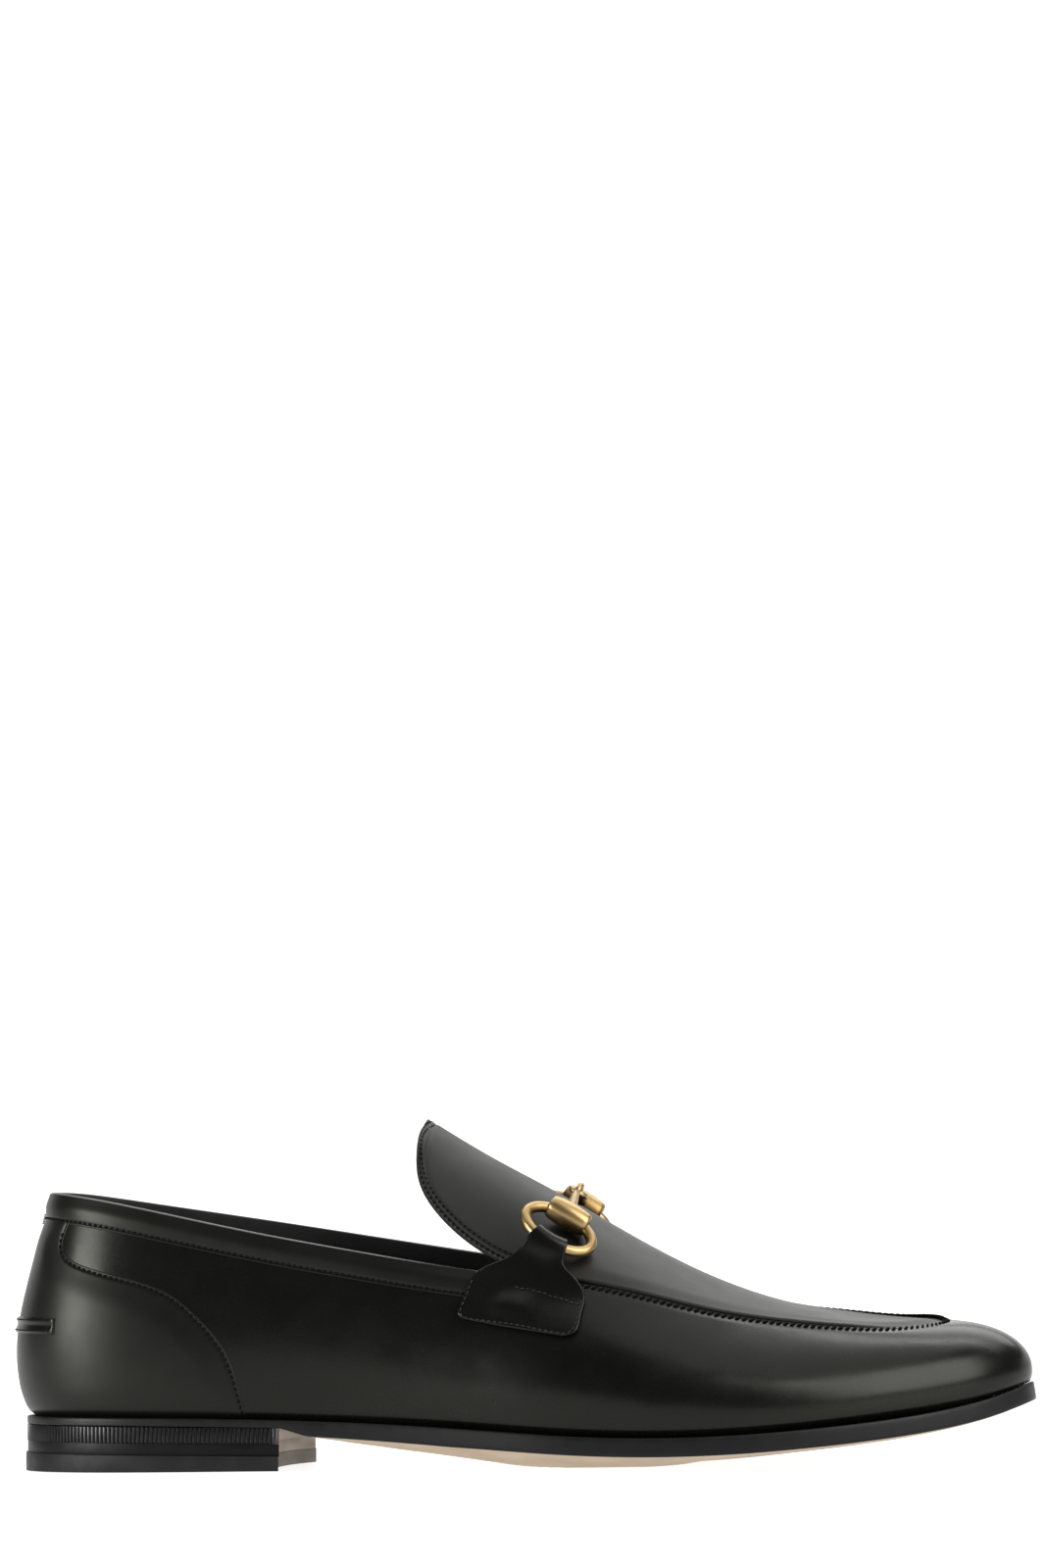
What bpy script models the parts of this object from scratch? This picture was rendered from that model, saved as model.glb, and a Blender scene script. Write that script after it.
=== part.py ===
"""Horsebit loafer, right foot, as an assembly of separate pieces.

X runs from heel to toe, +Y is the medial side and -Y the lateral side, and the sole stands on Z = 0.
The upper is worked out from a table of sections round the shoe: each row gives the feather point, where
the wall leaves the sole, and the top point, on the topline or on the apron seam.
"""
import math

import bmesh
import bpy
import numpy as np

MM = 0.001

# Driving sizes
WALL = 2.0 * MM
GAP = 0.3 * MM
OVERLAY = 1.0 * MM
OVERLAY_GAP = 0.4 * MM
APRON = 1.0 * MM
APRON_GAP = 0.3 * MM
LOOP = 1.2 * MM
WELT = 1.9 * MM
TOE_TRIM = 0.4
HEEL_TRIM = 0.4
SOLE_EDGE = 5.5 * MM
SHANK_EDGE = 4.4 * MM
SEAT_EDGE = 2.3 * MM
INSOLE = 2.2 * MM
HEEL_BREAST = -66.0 * MM
BREAST_HOLLOW = 5.0 * MM
RIB_PITCH = 1.6 * MM
RIB_DEPTH = 0.4 * MM
RIB_BAND = 4.4 * MM
TOP_LIFT = 5.2 * MM
LIFT_STEP = 0.7 * MM
BAND_DEPTH = 8.5 * MM
BAND_END = -12.9 * MM
HEEL_TAB = 0.7 * MM
HEEL_TAB_LOW = 40.2 * MM
HEEL_TAB_HIGH = 45.0 * MM
HEEL_TAB_REACH = 1.28
FULL_LOW = 0.38
FULL_TOP = 0.46

# The shoe is laid out with a level heel seat, then tipped to stand on its heel and ball
STANCE = math.radians(0.9)
STANCE_PIVOT = -125.0 * MM

# Bit sizes
RING_WIRE = 1.6 * MM
RING_LONG = 10.5 * MM
RING_REACH = 14.2 * MM
BARREL_LONG = 12.7 * MM
BARREL_FAT = 4.0 * MM
BARREL_END = 3.3 * MM
STEM = 1.35 * MM
EYE_RING = 2.3 * MM
EYE_WIRE = 0.95 * MM

# Sections round the shoe, from the heel back along the lateral side to the toe and home on the medial side.
# Feather point, top point, flare of the wall at the sole and its lean at the top in degrees.
SECTION_COLUMNS = ("name", "foot_x", "foot_y", "foot_z", "top_x", "top_y", "top_z", "flare", "lean")
SECTIONS = (
    ("heel_back", -146.0, 2.0, 16.2, -139.6, 2.0, 81.7, 19, 10),
    ("heel_corner_lateral", -137.0, -17.8, 16.2, -132.6, -15.9, 81.0, 17, 12),
    ("heel_lateral", -113.0, -28.5, 16.3, -112.0, -25.2, 77.7, 13, 10),
    ("quarter_lateral", -78.0, -30.0, 16.1, -77.0, -27.6, 70.5, 9, 10),
    ("waist_lateral", -44.0, -32.0, 15.4, -43.0, -29.0, 64.4, 10, 14),
    ("loop_lateral", -12.0, -38.0, 14.0, -12.0, -31.0, 59.5, 14, 22),
    ("throat_lateral", 15.0, -44.5, 12.5, 13.0, -33.0, 56.8, 18, 32),
    ("instep_lateral", 39.0, -46.8, 11.9, 36.0, -31.5, 53.0, 20, 42),
    ("ball_lateral", 64.0, -44.8, 12.6, 60.0, -26.8, 47.3, 20, 50),
    ("vamp_lateral", 91.0, -37.8, 14.8, 84.0, -21.0, 44.0, 22, 57),
    ("toe_lateral", 117.5, -26.0, 18.2, 105.0, -14.6, 42.6, 25, 68),
    ("toe_corner_lateral", 138.4, -11.2, 22.9, 118.4, -5.6, 43.2, 26, 80),
    ("toe_tip", 149.3, 6.5, 27.0, 123.8, 6.5, 44.2, 14, 93),
    ("toe_corner_medial", 139.9, 23.2, 23.5, 119.2, 18.2, 45.0, 25, 80),
    ("toe_medial", 120.5, 36.0, 19.0, 108.0, 27.2, 45.0, 24, 68),
    ("vamp_medial", 94.0, 43.6, 15.2, 87.0, 33.2, 46.8, 19, 56),
    ("ball_medial", 66.0, 46.3, 12.7, 62.0, 36.0, 49.4, 16, 46),
    ("instep_medial", 40.0, 43.5, 11.9, 37.0, 37.0, 54.7, 14, 38),
    ("throat_medial", 15.0, 36.5, 12.6, 13.0, 36.0, 59.5, 16, 28),
    ("loop_medial", -12.0, 30.5, 14.0, -12.0, 33.5, 63.4, 18, 20),
    ("waist_medial", -44.0, 28.5, 15.4, -43.0, 32.0, 68.0, 16, 14),
    ("quarter_medial", -78.0, 30.5, 16.1, -77.0, 31.2, 73.1, 11, 10),
    ("heel_medial", -113.0, 31.7, 16.3, -112.0, 28.8, 78.2, 13, 10),
    ("heel_corner_medial", -137.0, 21.6, 16.2, -132.6, 19.7, 81.2, 17, 12),
)
TURNS = len(SECTIONS)
TOE = TURNS // 2
THROAT = 6

# Ridge of the apron's outer face, from the tongue's tip to the seam at the toe
CREST_COLUMNS = ("name", "x", "y", "z")
CREST = (
    ("tongue_tip", -29.0, 4.0, 104.1),
    ("tongue", -9.0, 4.0, 92.1),
    ("throat", 8.3, 4.0, 82.9),
    ("instep", 31.5, 4.5, 69.6),
    ("ball", 54.5, 5.5, 57.8),
    ("vamp", 77.5, 6.5, 49.6),
    ("apron", 100.0, 6.8, 44.9),
    ("apron_toe", 116.0, 6.6, 44.6),
    ("apron_tip", 124.2, 6.5, 45.5),
)

# Free edge of the tongue, from its tip down to the throat
TONGUE_COLUMNS = ("name", "crest_x", "edge_x", "lateral_half", "lateral_z", "medial_half", "medial_z")
TONGUE = (
    ("tip", -28.4, -28.6, 4.0, 103.4, 4.0, 103.4),
    ("shoulder", -25.8, -28.9, 13.0, 98.0, 13.0, 98.2),
    ("side", -21.0, -28.6, 20.0, 91.0, 19.5, 91.8),
    ("rear_edge", -14.5, -25.9, 25.0, 82.8, 23.5, 84.6),
    ("rear_bend", -7.0, -18.5, 29.0, 73.6, 26.0, 76.4),
    ("low_edge", 0.5, -8.8, 31.5, 66.0, 28.3, 69.4),
    ("behind_loop", 7.0, 1.8, 33.5, 60.8, 30.6, 64.4),
)

# Front edge of the counter as height against length, on both sides
COUNTER_COLUMNS = ("name", "z", "x")
COUNTER = (
    ("sole", 15.0, -75.6),
    ("low", 25.3, -78.2),
    ("side", 37.6, -83.3),
    ("shoulder", 48.0, -93.0),
    ("upper_bend", 55.6, -107.6),
    ("wing", 58.8, -120.0),
    ("hollow", 61.8, -128.7),
    ("waist", 66.5, -132.0),
    ("ear", 74.4, -129.0),
)

# Swell of the sole's underside below its edge, along the middle
BELLY_COLUMNS = ("name", "x", "swell")
BELLY = (
    ("seat", -150.0, 0.0),
    ("breast", -66.0, 0.0),
    ("shank", -57.0, 1.1),
    ("waist_rear", -46.0, 2.3),
    ("waist", -32.0, 3.3),
    ("waist_front", -17.0, 4.1),
    ("tread_rear", 0.0, 5.4),
    ("tread", 20.0, 6.3),
    ("tread_front", 40.0, 5.0),
    ("ball", 55.0, 2.8),
    ("vamp", 83.0, 1.9),
    ("toe_rear", 112.0, 1.4),
    ("toe", 130.0, 0.8),
    ("tip", 151.0, 0.2),
)

# Leather loop: its rear and front edge as X and as depth below the seam, from the hem to the lip
# Columns: name, rear_x, rear_depth, front_x, front_depth
LOOP_BASE = (
    ("hem", -9.6, 15.6, 18.4, 19.0),
    ("corner", -12.0, 14.4, 21.6, 17.6),
    ("pad", -11.2, 9.5, 23.2, 12.0),
    ("pad_top", -9.4, 3.0, 23.8, 5.6),
    ("lip", -5.4, 0.0, 19.6, 0.0),
)
LOOP_WAIST_REAR = 4.4 * MM
LOOP_WAIST_FRONT = 17.0 * MM
LOOP_NECK = 0.95
LOOP_LEAVE = math.radians(38)

# Bit halves: barrel centre and the middle of the wire that the loop holds
# Columns: side, barrel_x, barrel_y, barrel_z, wire_x, wire_y, wire_z
BIT = (
    (-1, 16.9, -20.8, 74.8, 14.6, -31.4, 66.4),
    (1, 15.8, 22.6, 78.3, 13.6, 33.6, 70.1),
)
EYE_Y = 0.6 * MM
EYE_LIFT = 3.7 * MM


def column(table, columns, name):
    """One named column of a table as metres."""
    index = columns.index(name)
    return np.array([row[index] for row in table], float) * MM


def smooth_line(knots, values, closed=False):
    """Cubic with continuous curvature through values at knots, as a function of the knot variable."""
    knots = np.asarray(knots, float)
    values = np.asarray(values, float)
    if closed:
        values = np.vstack([values, values[:1]])
    count = len(knots)
    step = np.diff(knots)
    slope = np.diff(values, axis=0) / step[:, None]
    matrix = np.eye(count)
    right = np.zeros_like(values)
    for i in range(1, count - 1):
        matrix[i, i - 1:i + 2] = step[i - 1], 2 * (step[i - 1] + step[i]), step[i]
        right[i] = 6 * (slope[i] - slope[i - 1])
    if closed:
        matrix[0, 0] = 2 * (step[-1] + step[0])
        matrix[0, 1] = step[0]
        matrix[0, count - 2] = step[-1]
        right[0] = 6 * (slope[0] - slope[-1])
        matrix[-1, 0] = -1.0
    bend = np.linalg.solve(matrix, right)

    def evaluate(t):
        t = np.atleast_1d(np.asarray(t, float))
        if closed:
            t = knots[0] + np.mod(t - knots[0], knots[-1] - knots[0])
        i = np.clip(np.searchsorted(knots, t, side="right") - 1, 0, count - 2)
        h = step[i][:, None]
        a = (knots[i + 1] - t)[:, None] / h
        b = 1 - a
        curve = ((a ** 3 - a) * bend[i] + (b ** 3 - b) * bend[i + 1]) * h ** 2 / 6
        return a * values[i] + b * values[i + 1] + curve

    return evaluate


def round_shoe(*names):
    """Named section columns as one closed curve over the section number."""
    values = np.stack([column(SECTIONS, SECTION_COLUMNS, name) for name in names], axis=1)
    return smooth_line(np.arange(TURNS + 1), values, closed=True)


FOOT = round_shoe("foot_x", "foot_y", "foot_z")
TOP = round_shoe("top_x", "top_y", "top_z")
LEANS = round_shoe("flare", "lean")
CREST_LINE = smooth_line(
    column(CREST, CREST_COLUMNS, "x"),
    np.stack([column(CREST, CREST_COLUMNS, "y"), column(CREST, CREST_COLUMNS, "z")], axis=1),
)
COUNTER_LINE = smooth_line(
    column(COUNTER, COUNTER_COLUMNS, "z"),
    column(COUNTER, COUNTER_COLUMNS, "x")[:, None],
)


def unit(vectors):
    return vectors / np.linalg.norm(vectors, axis=-1, keepdims=True)


def outward(u):
    """Level direction out of the shoe, square to the feather line."""
    along = FOOT(np.asarray(u) + 0.01) - FOOT(np.asarray(u) - 0.01)
    return unit(np.stack([along[:, 1], -along[:, 0], np.zeros(len(along))], axis=1))


def wall_point(u, v):
    """Point of the upper's outer face: u numbers the sections, v runs from the sole to the top."""
    u, v = np.broadcast_arrays(np.asarray(u, float), np.asarray(v, float))
    shape = u.shape
    u, v = u.ravel(), v.ravel()[:, None]
    foot, top, out = FOOT(u), TOP(u), outward(u)
    flare, lean = np.radians(LEANS(u) / MM).T
    span = np.linalg.norm(top - foot, axis=1)[:, None]
    rise = np.array([0.0, 0.0, 1.0])
    low = foot + FULL_LOW * span * (out * np.sin(flare)[:, None] + rise * np.cos(flare)[:, None])
    high = top + FULL_TOP * span * (out * np.sin(lean)[:, None] - rise * np.cos(lean)[:, None])
    w = 1 - v
    point = w ** 3 * foot + 3 * w * w * v * low + 3 * w * v * v * high + v ** 3 * top
    return point.reshape(shape + (3,))


def wall_normal(u, v):
    """Direction out of the wall."""
    u, v = np.broadcast_arrays(np.asarray(u, float), np.asarray(v, float))
    v = np.clip(v, 0.02, 0.98)
    along = wall_point(u + 0.02, v) - wall_point(u - 0.02, v)
    upward = wall_point(u, v + 0.02) - wall_point(u, v - 0.02)
    return unit(np.cross(along, upward))


def wall_level(u, depth):
    """Value of v at a distance down the wall from its top."""
    v = np.linspace(0, 1, 61)
    levels = []
    for one_u, one_depth in zip(np.ravel(u), np.ravel(depth)):
        line = wall_point(one_u, v)
        down = np.append(np.cumsum(np.linalg.norm(np.diff(line, axis=0), axis=1)[::-1])[::-1], 0)
        levels.append(np.interp(-one_depth, -down, v))
    return np.array(levels).reshape(np.shape(u))


def section_at(x, side, curve):
    """Section number where a curve round the shoe crosses a length, on one side."""
    low, high = (0.0, float(TOE)) if side < 0 else (float(TOE), float(TURNS))
    for _ in range(40):
        middle = 0.5 * (low + high)
        if (curve(np.array([middle]))[0, 0] < x) == (side < 0):
            low = middle
        else:
            high = middle
    return 0.5 * (low + high)


def arch(left, ridge, right, t):
    """Arched line from one edge over the ridge to the other edge."""
    t = np.asarray(t, float)[:, None]
    first = t < 0.5
    edge = np.where(first, left, right)
    run = np.where(first, 2 * t, 2 - 2 * t)
    point = edge + (ridge - edge) * run
    point[:, 2:] = edge[:, 2:] + (ridge[2] - edge[:, 2:]) * (1 - (1 - run) ** 2)
    return point


def ridge_at(x, drop):
    y, z = CREST_LINE(np.array([x]))[0]
    return np.array([x, y, z - drop])


def vamp_rib(u, across):
    """One line over the vamp under the apron, from seam to seam."""
    left, right = TOP(np.array([u, TURNS - u]))
    middle = 0.5 * (left[0] + right[0])
    if u >= TOE:
        return np.repeat(left[None], len(across), axis=0)
    return arch(left, ridge_at(middle, APRON + APRON_GAP), right, across)


def tongue_edges():
    """Both edges of the free tongue as curves over the ridge's length."""
    drop = APRON + APRON_GAP
    crest_x, edge_x = [column(TONGUE, TONGUE_COLUMNS, key) for key in ("crest_x", "edge_x")]
    ends = []
    for side, key in ((-1, "lateral"), (1, "medial")):
        half = column(TONGUE, TONGUE_COLUMNS, key + "_half")
        edge_z = column(TONGUE, TONGUE_COLUMNS, key + "_z")
        y = CREST_LINE(crest_x)[:, 0] + side * half
        free = np.stack([edge_x, y, edge_z - drop], axis=1)
        seam = [THROAT, THROAT + 0.5, THROAT + 1.0]
        if side > 0:
            seam = [TURNS - value for value in seam]
        held = TOP(np.array(seam))
        pair = TOP(np.array([TURNS - value for value in seam]))
        knots = np.concatenate([crest_x, 0.5 * (held[:, 0] + pair[:, 0])])
        ends.append(smooth_line(knots, np.vstack([free, held])))
    return ends


TONGUE_EDGES = tongue_edges()


def tongue_rib(x, across):
    """One line over the free tongue, at a length of its ridge."""
    left, right = [edge(np.array([x]))[0] for edge in TONGUE_EDGES]
    return arch(left, ridge_at(x, APRON + APRON_GAP), right, across)


def apron_grid(tongue_steps, vamp_steps, across):
    """Under face of apron and tongue, ribs from the tongue's tip to the toe."""
    start = column(TONGUE, TONGUE_COLUMNS, "crest_x")[0]
    throat = 0.5 * (TOP(np.array([THROAT]))[0, 0] + TOP(np.array([TURNS - THROAT]))[0, 0])
    ribs = [tongue_rib(x, across) for x in np.linspace(start, throat, tongue_steps + 1)[:-1]]
    ribs += [vamp_rib(u, across) for u in np.linspace(THROAT, TOE, vamp_steps + 1)]
    return np.array(ribs)


class Surface:
    """Points and faces gathered before they become a mesh."""

    def __init__(self):
        self.points = []
        self.faces = []

    def add_points(self, points):
        start = len(self.points)
        self.points.extend(np.asarray(points, float).reshape(-1, 3))
        return np.arange(start, len(self.points))

    def length(self, a, b):
        return np.linalg.norm(self.points[a] - self.points[b])

    def add_grid(self, index, closed=False, shortest=False):
        """Two triangles for each cell, split along its first or its shorter diagonal."""
        rows, cols = index.shape
        for i in range(rows if closed else rows - 1):
            for j in range(cols - 1):
                k = (i + 1) % rows
                a, b, c, d = index[i, j], index[k, j], index[k, j + 1], index[i, j + 1]
                if shortest and self.length(b, d) < self.length(a, c):
                    a, b, c, d = b, c, d, a
                self.faces.append((a, b, c))
                self.faces.append((a, c, d))

    def add_array(self, grid, shortest=False):
        index = self.add_points(grid).reshape(grid.shape[:2])
        self.add_grid(index, shortest=shortest)
        return index


def mesh_from(surface):
    """Welded open mesh of a surface."""
    form = bmesh.new()
    kept = {}
    verts = []
    for point in surface.points:
        key = tuple(np.round(point / (2e-6)).astype(int))
        if key not in kept:
            kept[key] = form.verts.new(point)
        verts.append(kept[key])
    for face in surface.faces:
        corners = list(dict.fromkeys(verts[i] for i in face))
        if len(corners) > 2:
            form.faces.new(corners)
    bmesh.ops.remove_doubles(form, verts=form.verts, dist=4e-6)
    return form


def finish(form, name, finish_name):
    """Closed form to a named object with its material."""
    bmesh.ops.recalc_face_normals(form, faces=form.faces)
    mesh = bpy.data.meshes.new(name)
    form.to_mesh(mesh)
    form.free()
    mesh.shade_smooth()
    mesh.set_sharp_from_angle(angle=math.radians(40))
    mesh.materials.append(MATERIALS[finish_name])
    thing = bpy.data.objects.new(name, mesh)
    thing.rotation_euler = (0.0, STANCE, 0.0)
    thing.location = (STANCE_PIVOT * (1 - math.cos(STANCE)), 0.0, STANCE_PIVOT * math.sin(STANCE))
    bpy.context.scene.collection.objects.link(thing)
    return thing


def thick(surface, low, high, name, finish_name, toward):
    """Closed sheet between two distances from an open surface, measured along its normals."""
    form = mesh_from(surface)
    bmesh.ops.recalc_face_normals(form, faces=form.faces)
    form.normal_update()
    form.faces.ensure_lookup_table()
    face = max(form.faces, key=lambda item: item.calc_area())
    if face.normal.dot(toward(face.calc_center_median())) < 0:
        bmesh.ops.reverse_faces(form, faces=form.faces)
        form.normal_update()
    normals = [vert.normal.copy() for vert in form.verts]
    rim = [edge for edge in form.edges if edge.is_boundary]
    inner = {}
    for vert, normal in zip(list(form.verts), normals):
        inner[vert] = form.verts.new(vert.co + normal * low)
    for shape in list(form.faces):
        form.faces.new([inner[vert] for vert in reversed(shape.verts)])
    for edge in rim:
        a, b = edge.verts
        form.faces.new((a, b, inner[b], inner[a]))
    for vert, normal in zip(list(inner), normals):
        vert.co += normal * high
    return finish(form, name, finish_name)


def between(upper_grid, lower_grid, name, finish_name):
    """Closed solid between two grids of the same shape."""
    surface = Surface()
    high = surface.add_array(upper_grid)
    low = surface.add_array(lower_grid)
    ring = [(0, j) for j in range(high.shape[1] - 1)]
    ring += [(i, high.shape[1] - 1) for i in range(high.shape[0] - 1)]
    ring += [(high.shape[0] - 1, j) for j in range(high.shape[1] - 1, 0, -1)]
    ring += [(i, 0) for i in range(high.shape[0] - 1, 0, -1)]
    for a, b in zip(ring, ring[1:] + ring[:1]):
        surface.faces.append((high[a], low[a], low[b], high[b]))
    return finish(mesh_from(surface), name, finish_name)


def from_middle(point):
    """Direction from the shoe's middle line to a point."""
    away = point.copy()
    away.x = 0.0
    away.z -= 35 * MM
    return away


def make_upper():
    """Hollow upper: the wall all round and the vamp across, open at collar, throat and sole."""
    stations = np.linspace(0, TURNS, TURNS * 4, endpoint=False)
    levels = np.array([0, 0.09, 0.24, 0.42, 0.62, 0.82, 1.0])
    across = np.linspace(0, 1, 9)
    surface = Surface()
    u, v = np.meshgrid(stations, levels, indexing="ij")
    wall = surface.add_points(wall_point(u, v)).reshape(u.shape)
    surface.add_grid(wall, closed=True)
    ribs = [vamp_rib(one, across) for one in np.linspace(THROAT, TOE, (TOE - THROAT) * 4 + 1)]
    surface.add_array(np.array(ribs))
    return thick(surface, -WALL, 0.0, "upper", "calf", from_middle)


def make_apron():
    surface = Surface()
    surface.add_array(apron_grid(12, 24, np.linspace(0, 1, 9)))
    return thick(surface, APRON_GAP, APRON_GAP + APRON, "apron_tongue", "calf", from_middle)


def sole_outline(u, spread):
    """Feather line moved in, or moved out by a welt that narrows round the toe and the heel."""
    u = np.asarray(u, float)
    from_heel = np.abs(np.mod(u + TOE, TURNS) - TOE)
    trim = TOE_TRIM * np.exp(-np.square(from_heel - TOE)) + HEEL_TRIM * np.exp(-np.square(from_heel))
    reach = spread * (1 - trim) if spread > 0 else np.full(u.shape, spread)
    return FOOT(u) + outward(u) * reach[..., None]


def edge_depth(x):
    """Thickness of the sole's edge, thinner over the heel."""
    near = np.clip((x - HEEL_BREAST) / (8 * MM), 0, 1)
    far = np.clip((x - HEEL_BREAST) / (50 * MM), 0, 1)
    return SEAT_EDGE + (SHANK_EDGE - SEAT_EDGE) * near + (SOLE_EDGE - SHANK_EDGE) * far


def floor_at(x):
    """Height of the floor under the shoe before it is tipped."""
    return (x - STANCE_PIVOT) * math.tan(STANCE)


def belly(x):
    """How far the underside swells below the sole's edge in the middle."""
    return np.interp(x, column(BELLY, BELLY_COLUMNS, "x"), column(BELLY, BELLY_COLUMNS, "swell"))


def sole_grids(spread, top_lift, thickness, top_share, columns):
    """Upper and lower grid of a sole layer, rows across the shoe from heel to toe."""
    ends = np.array([0, 0.12, 0.3, 0.55, 0.8])
    breast = section_at(HEEL_BREAST, -1, FOOT)
    front = section_at(HEEL_BREAST + 9 * MM, -1, FOOT)
    rear, fore = np.linspace(1, breast, 8), np.linspace(front, TOE - 1, 19)
    turns = np.concatenate([ends, rear, fore, TOE - ends[::-1]])
    share = np.linspace(-1, 1, columns)
    left = sole_outline(turns, spread)
    right = sole_outline(TURNS - turns, spread)
    part = (share[None, :, None] + 1) / 2
    flat = left[:, None] * (1 - part) + right[:, None] * part
    width = np.linalg.norm(right - left, axis=1)[:, None]
    swell = belly(flat[..., 0]) * (1 - np.abs(share) ** 2.4)[None] * np.minimum(width / (30 * MM), 1)
    high = flat.copy()
    high[..., 2] += top_lift - top_share * swell
    low = flat.copy()
    low[..., 2] = high[..., 2] - thickness
    return flat, swell, high, low


def make_outsole():
    flat, swell, high, low = sole_grids(WELT, -GAP, 0.0, 0.5, 9)
    low = flat.copy()
    low[..., 2] = np.maximum(flat[..., 2] - GAP - edge_depth(flat[..., 0]) - swell, floor_at(flat[..., 0]))
    return between(high, low, "outsole", "sole_leather")


def make_insole():
    flat, swell, high, low = sole_grids(-(WALL + 0.9 * MM), INSOLE, INSOLE, 0.5, 5)
    return between(high, low, "insole", "lining")


def heel_outline(spread, pitch, tooth):
    """Closed heel outline: round the back with teeth, then along the hollow breast."""
    start = section_at(HEEL_BREAST, -1, FOOT)
    end = section_at(HEEL_BREAST, 1, FOOT) - TURNS
    fine = sole_outline(np.linspace(start, end, 600), WELT + spread)
    run = np.append(0, np.cumsum(np.linalg.norm(np.diff(fine[:, :2], axis=0), axis=1)))
    count = int(run[-1] / pitch) * 2
    stops = np.linspace(0, run[-1], count + 1)
    turn = np.interp(stops, run, np.linspace(start, end, 600))
    depth = np.where(np.arange(count + 1) % 2, -tooth, 0.0)
    back = sole_outline(turn, WELT + spread) + outward(turn) * depth[:, None]
    share = np.linspace(-1, 1, 11)[1:-1]
    half = 0.5 * (back[0] - back[-1])
    middle = 0.5 * (back[0] + back[-1])
    breast = middle - half * share[:, None]
    breast = breast[np.argsort(breast[:, 1])[::-1]] if back[-1, 1] > back[0, 1] else breast
    breast[:, 0] -= BREAST_HOLLOW * (1 - share ** 2)
    return np.vstack([back, breast])[:, :2]


def prism(outline, low, high, name, finish_name):
    """Solid of an outline between two heights, each a number or one per corner."""
    form = bmesh.new()
    count = len(outline)
    lows = np.broadcast_to(low, count)
    highs = np.broadcast_to(high, count)
    bottom = [form.verts.new((x, y, z)) for (x, y), z in zip(outline, lows)]
    upper = [form.verts.new((x, y, z)) for (x, y), z in zip(outline, highs)]
    form.faces.new(bottom)
    form.faces.new(upper)
    for i in range(count):
        k = (i + 1) % count
        form.faces.new((bottom[i], bottom[k], upper[k], upper[i]))
    return finish(form, name, finish_name)


def seat_low():
    """Underside of the sole over the heel."""
    ends = FOOT(np.array([0.0, section_at(HEEL_BREAST, -1, FOOT)]))
    return min(ends[:, 2]) - 2 * GAP - SEAT_EDGE


def make_heel():
    band_top = seat_low()
    band_low = band_top - RIB_BAND
    prism(heel_outline(0.0, RIB_PITCH, RIB_DEPTH), band_low, band_top, "heel_rib_band", "heel_leather")
    stack = heel_outline(-0.2 * MM, 6 * MM, 0.0)
    prism(stack, TOP_LIFT + GAP, band_low - GAP, "heel_stack", "heel_leather")
    lift = heel_outline(LIFT_STEP, 6 * MM, 0.0)
    prism(lift, floor_at(lift[:, 0]), TOP_LIFT, "top_lift", "rubber")


def overlay(u, v, low, high, name):
    surface = Surface()
    surface.add_array(wall_point(u, v) + wall_normal(u, v) * low, shortest=True)
    return thick(surface, 0.0, high - low, name, "calf", from_middle)


def band_edge(u):
    """Level of the collar band's lower edge."""
    return wall_level(u, np.full(np.shape(u), BAND_DEPTH))


def counter_level(share, u):
    """Level of the wall at a share of the counter's height, which ends under the collar band."""
    top = np.interp(u, BAND_TURNS, BAND_LEVELS) - 0.008
    return 0.035 + share * (top - 0.035)


def counter_reach(share, side):
    """Section number of the counter's front edge at a share of its height."""
    low, high = 0.2, 4.6
    for _ in range(36):
        u = 0.5 * (low + high)
        point = wall_point(-side * u, counter_level(share, -side * u))
        if point[0] < COUNTER_LINE(np.array([point[2]]))[0, 0]:
            low = u
        else:
            high = u
    return 0.5 * (low + high)


BAND_TURNS = np.linspace(-6, 6, 97)
BAND_LEVELS = band_edge(BAND_TURNS)


def make_counter():
    fine = np.linspace(0, 1, 81)
    reach = [counter_reach(q, -1) for q in fine]
    edge = wall_point(reach, counter_level(fine, np.array(reach)))
    run = np.append(0, np.cumsum(np.linalg.norm(np.diff(edge, axis=0), axis=1)))
    shares = np.interp(np.linspace(0, run[-1], 13), run, fine)
    u = np.array([np.linspace(-counter_reach(q, 1), counter_reach(q, -1), 23) for q in shares])
    v = np.array([counter_level(q, row) for q, row in zip(shares, u)])
    return overlay(u, v, OVERLAY_GAP, OVERLAY_GAP + OVERLAY, "counter")


def make_band():
    end = section_at(BAND_END, -1, TOP)
    other = section_at(BAND_END, 1, TOP) - TURNS
    u = np.linspace(other, end, 43)[:, None] * np.ones((1, 3))
    low = band_edge(u[:, 0])[:, None]
    v = low + (1 - low) * np.linspace(0, 1, 3)[None]
    return overlay(u, v, OVERLAY_GAP, OVERLAY_GAP + OVERLAY, "collar_band")


def level_at_height(u, z):
    v = np.linspace(0, 1, 81)
    return np.array([np.interp(z, wall_point(one, v)[:, 2], v) for one in u])


def make_heel_tab():
    u = np.linspace(-HEEL_TAB_REACH, HEEL_TAB_REACH, 11)
    low, high = level_at_height(u, HEEL_TAB_LOW), level_at_height(u, HEEL_TAB_HIGH)
    share = np.linspace(0, 1, 3)[None]
    v = low[:, None] * (1 - share) + high[:, None] * share
    start = OVERLAY_GAP + OVERLAY + GAP
    return overlay(u[:, None] * np.ones((1, 3)), v, start, start + HEEL_TAB, "heel_tab")


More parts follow.
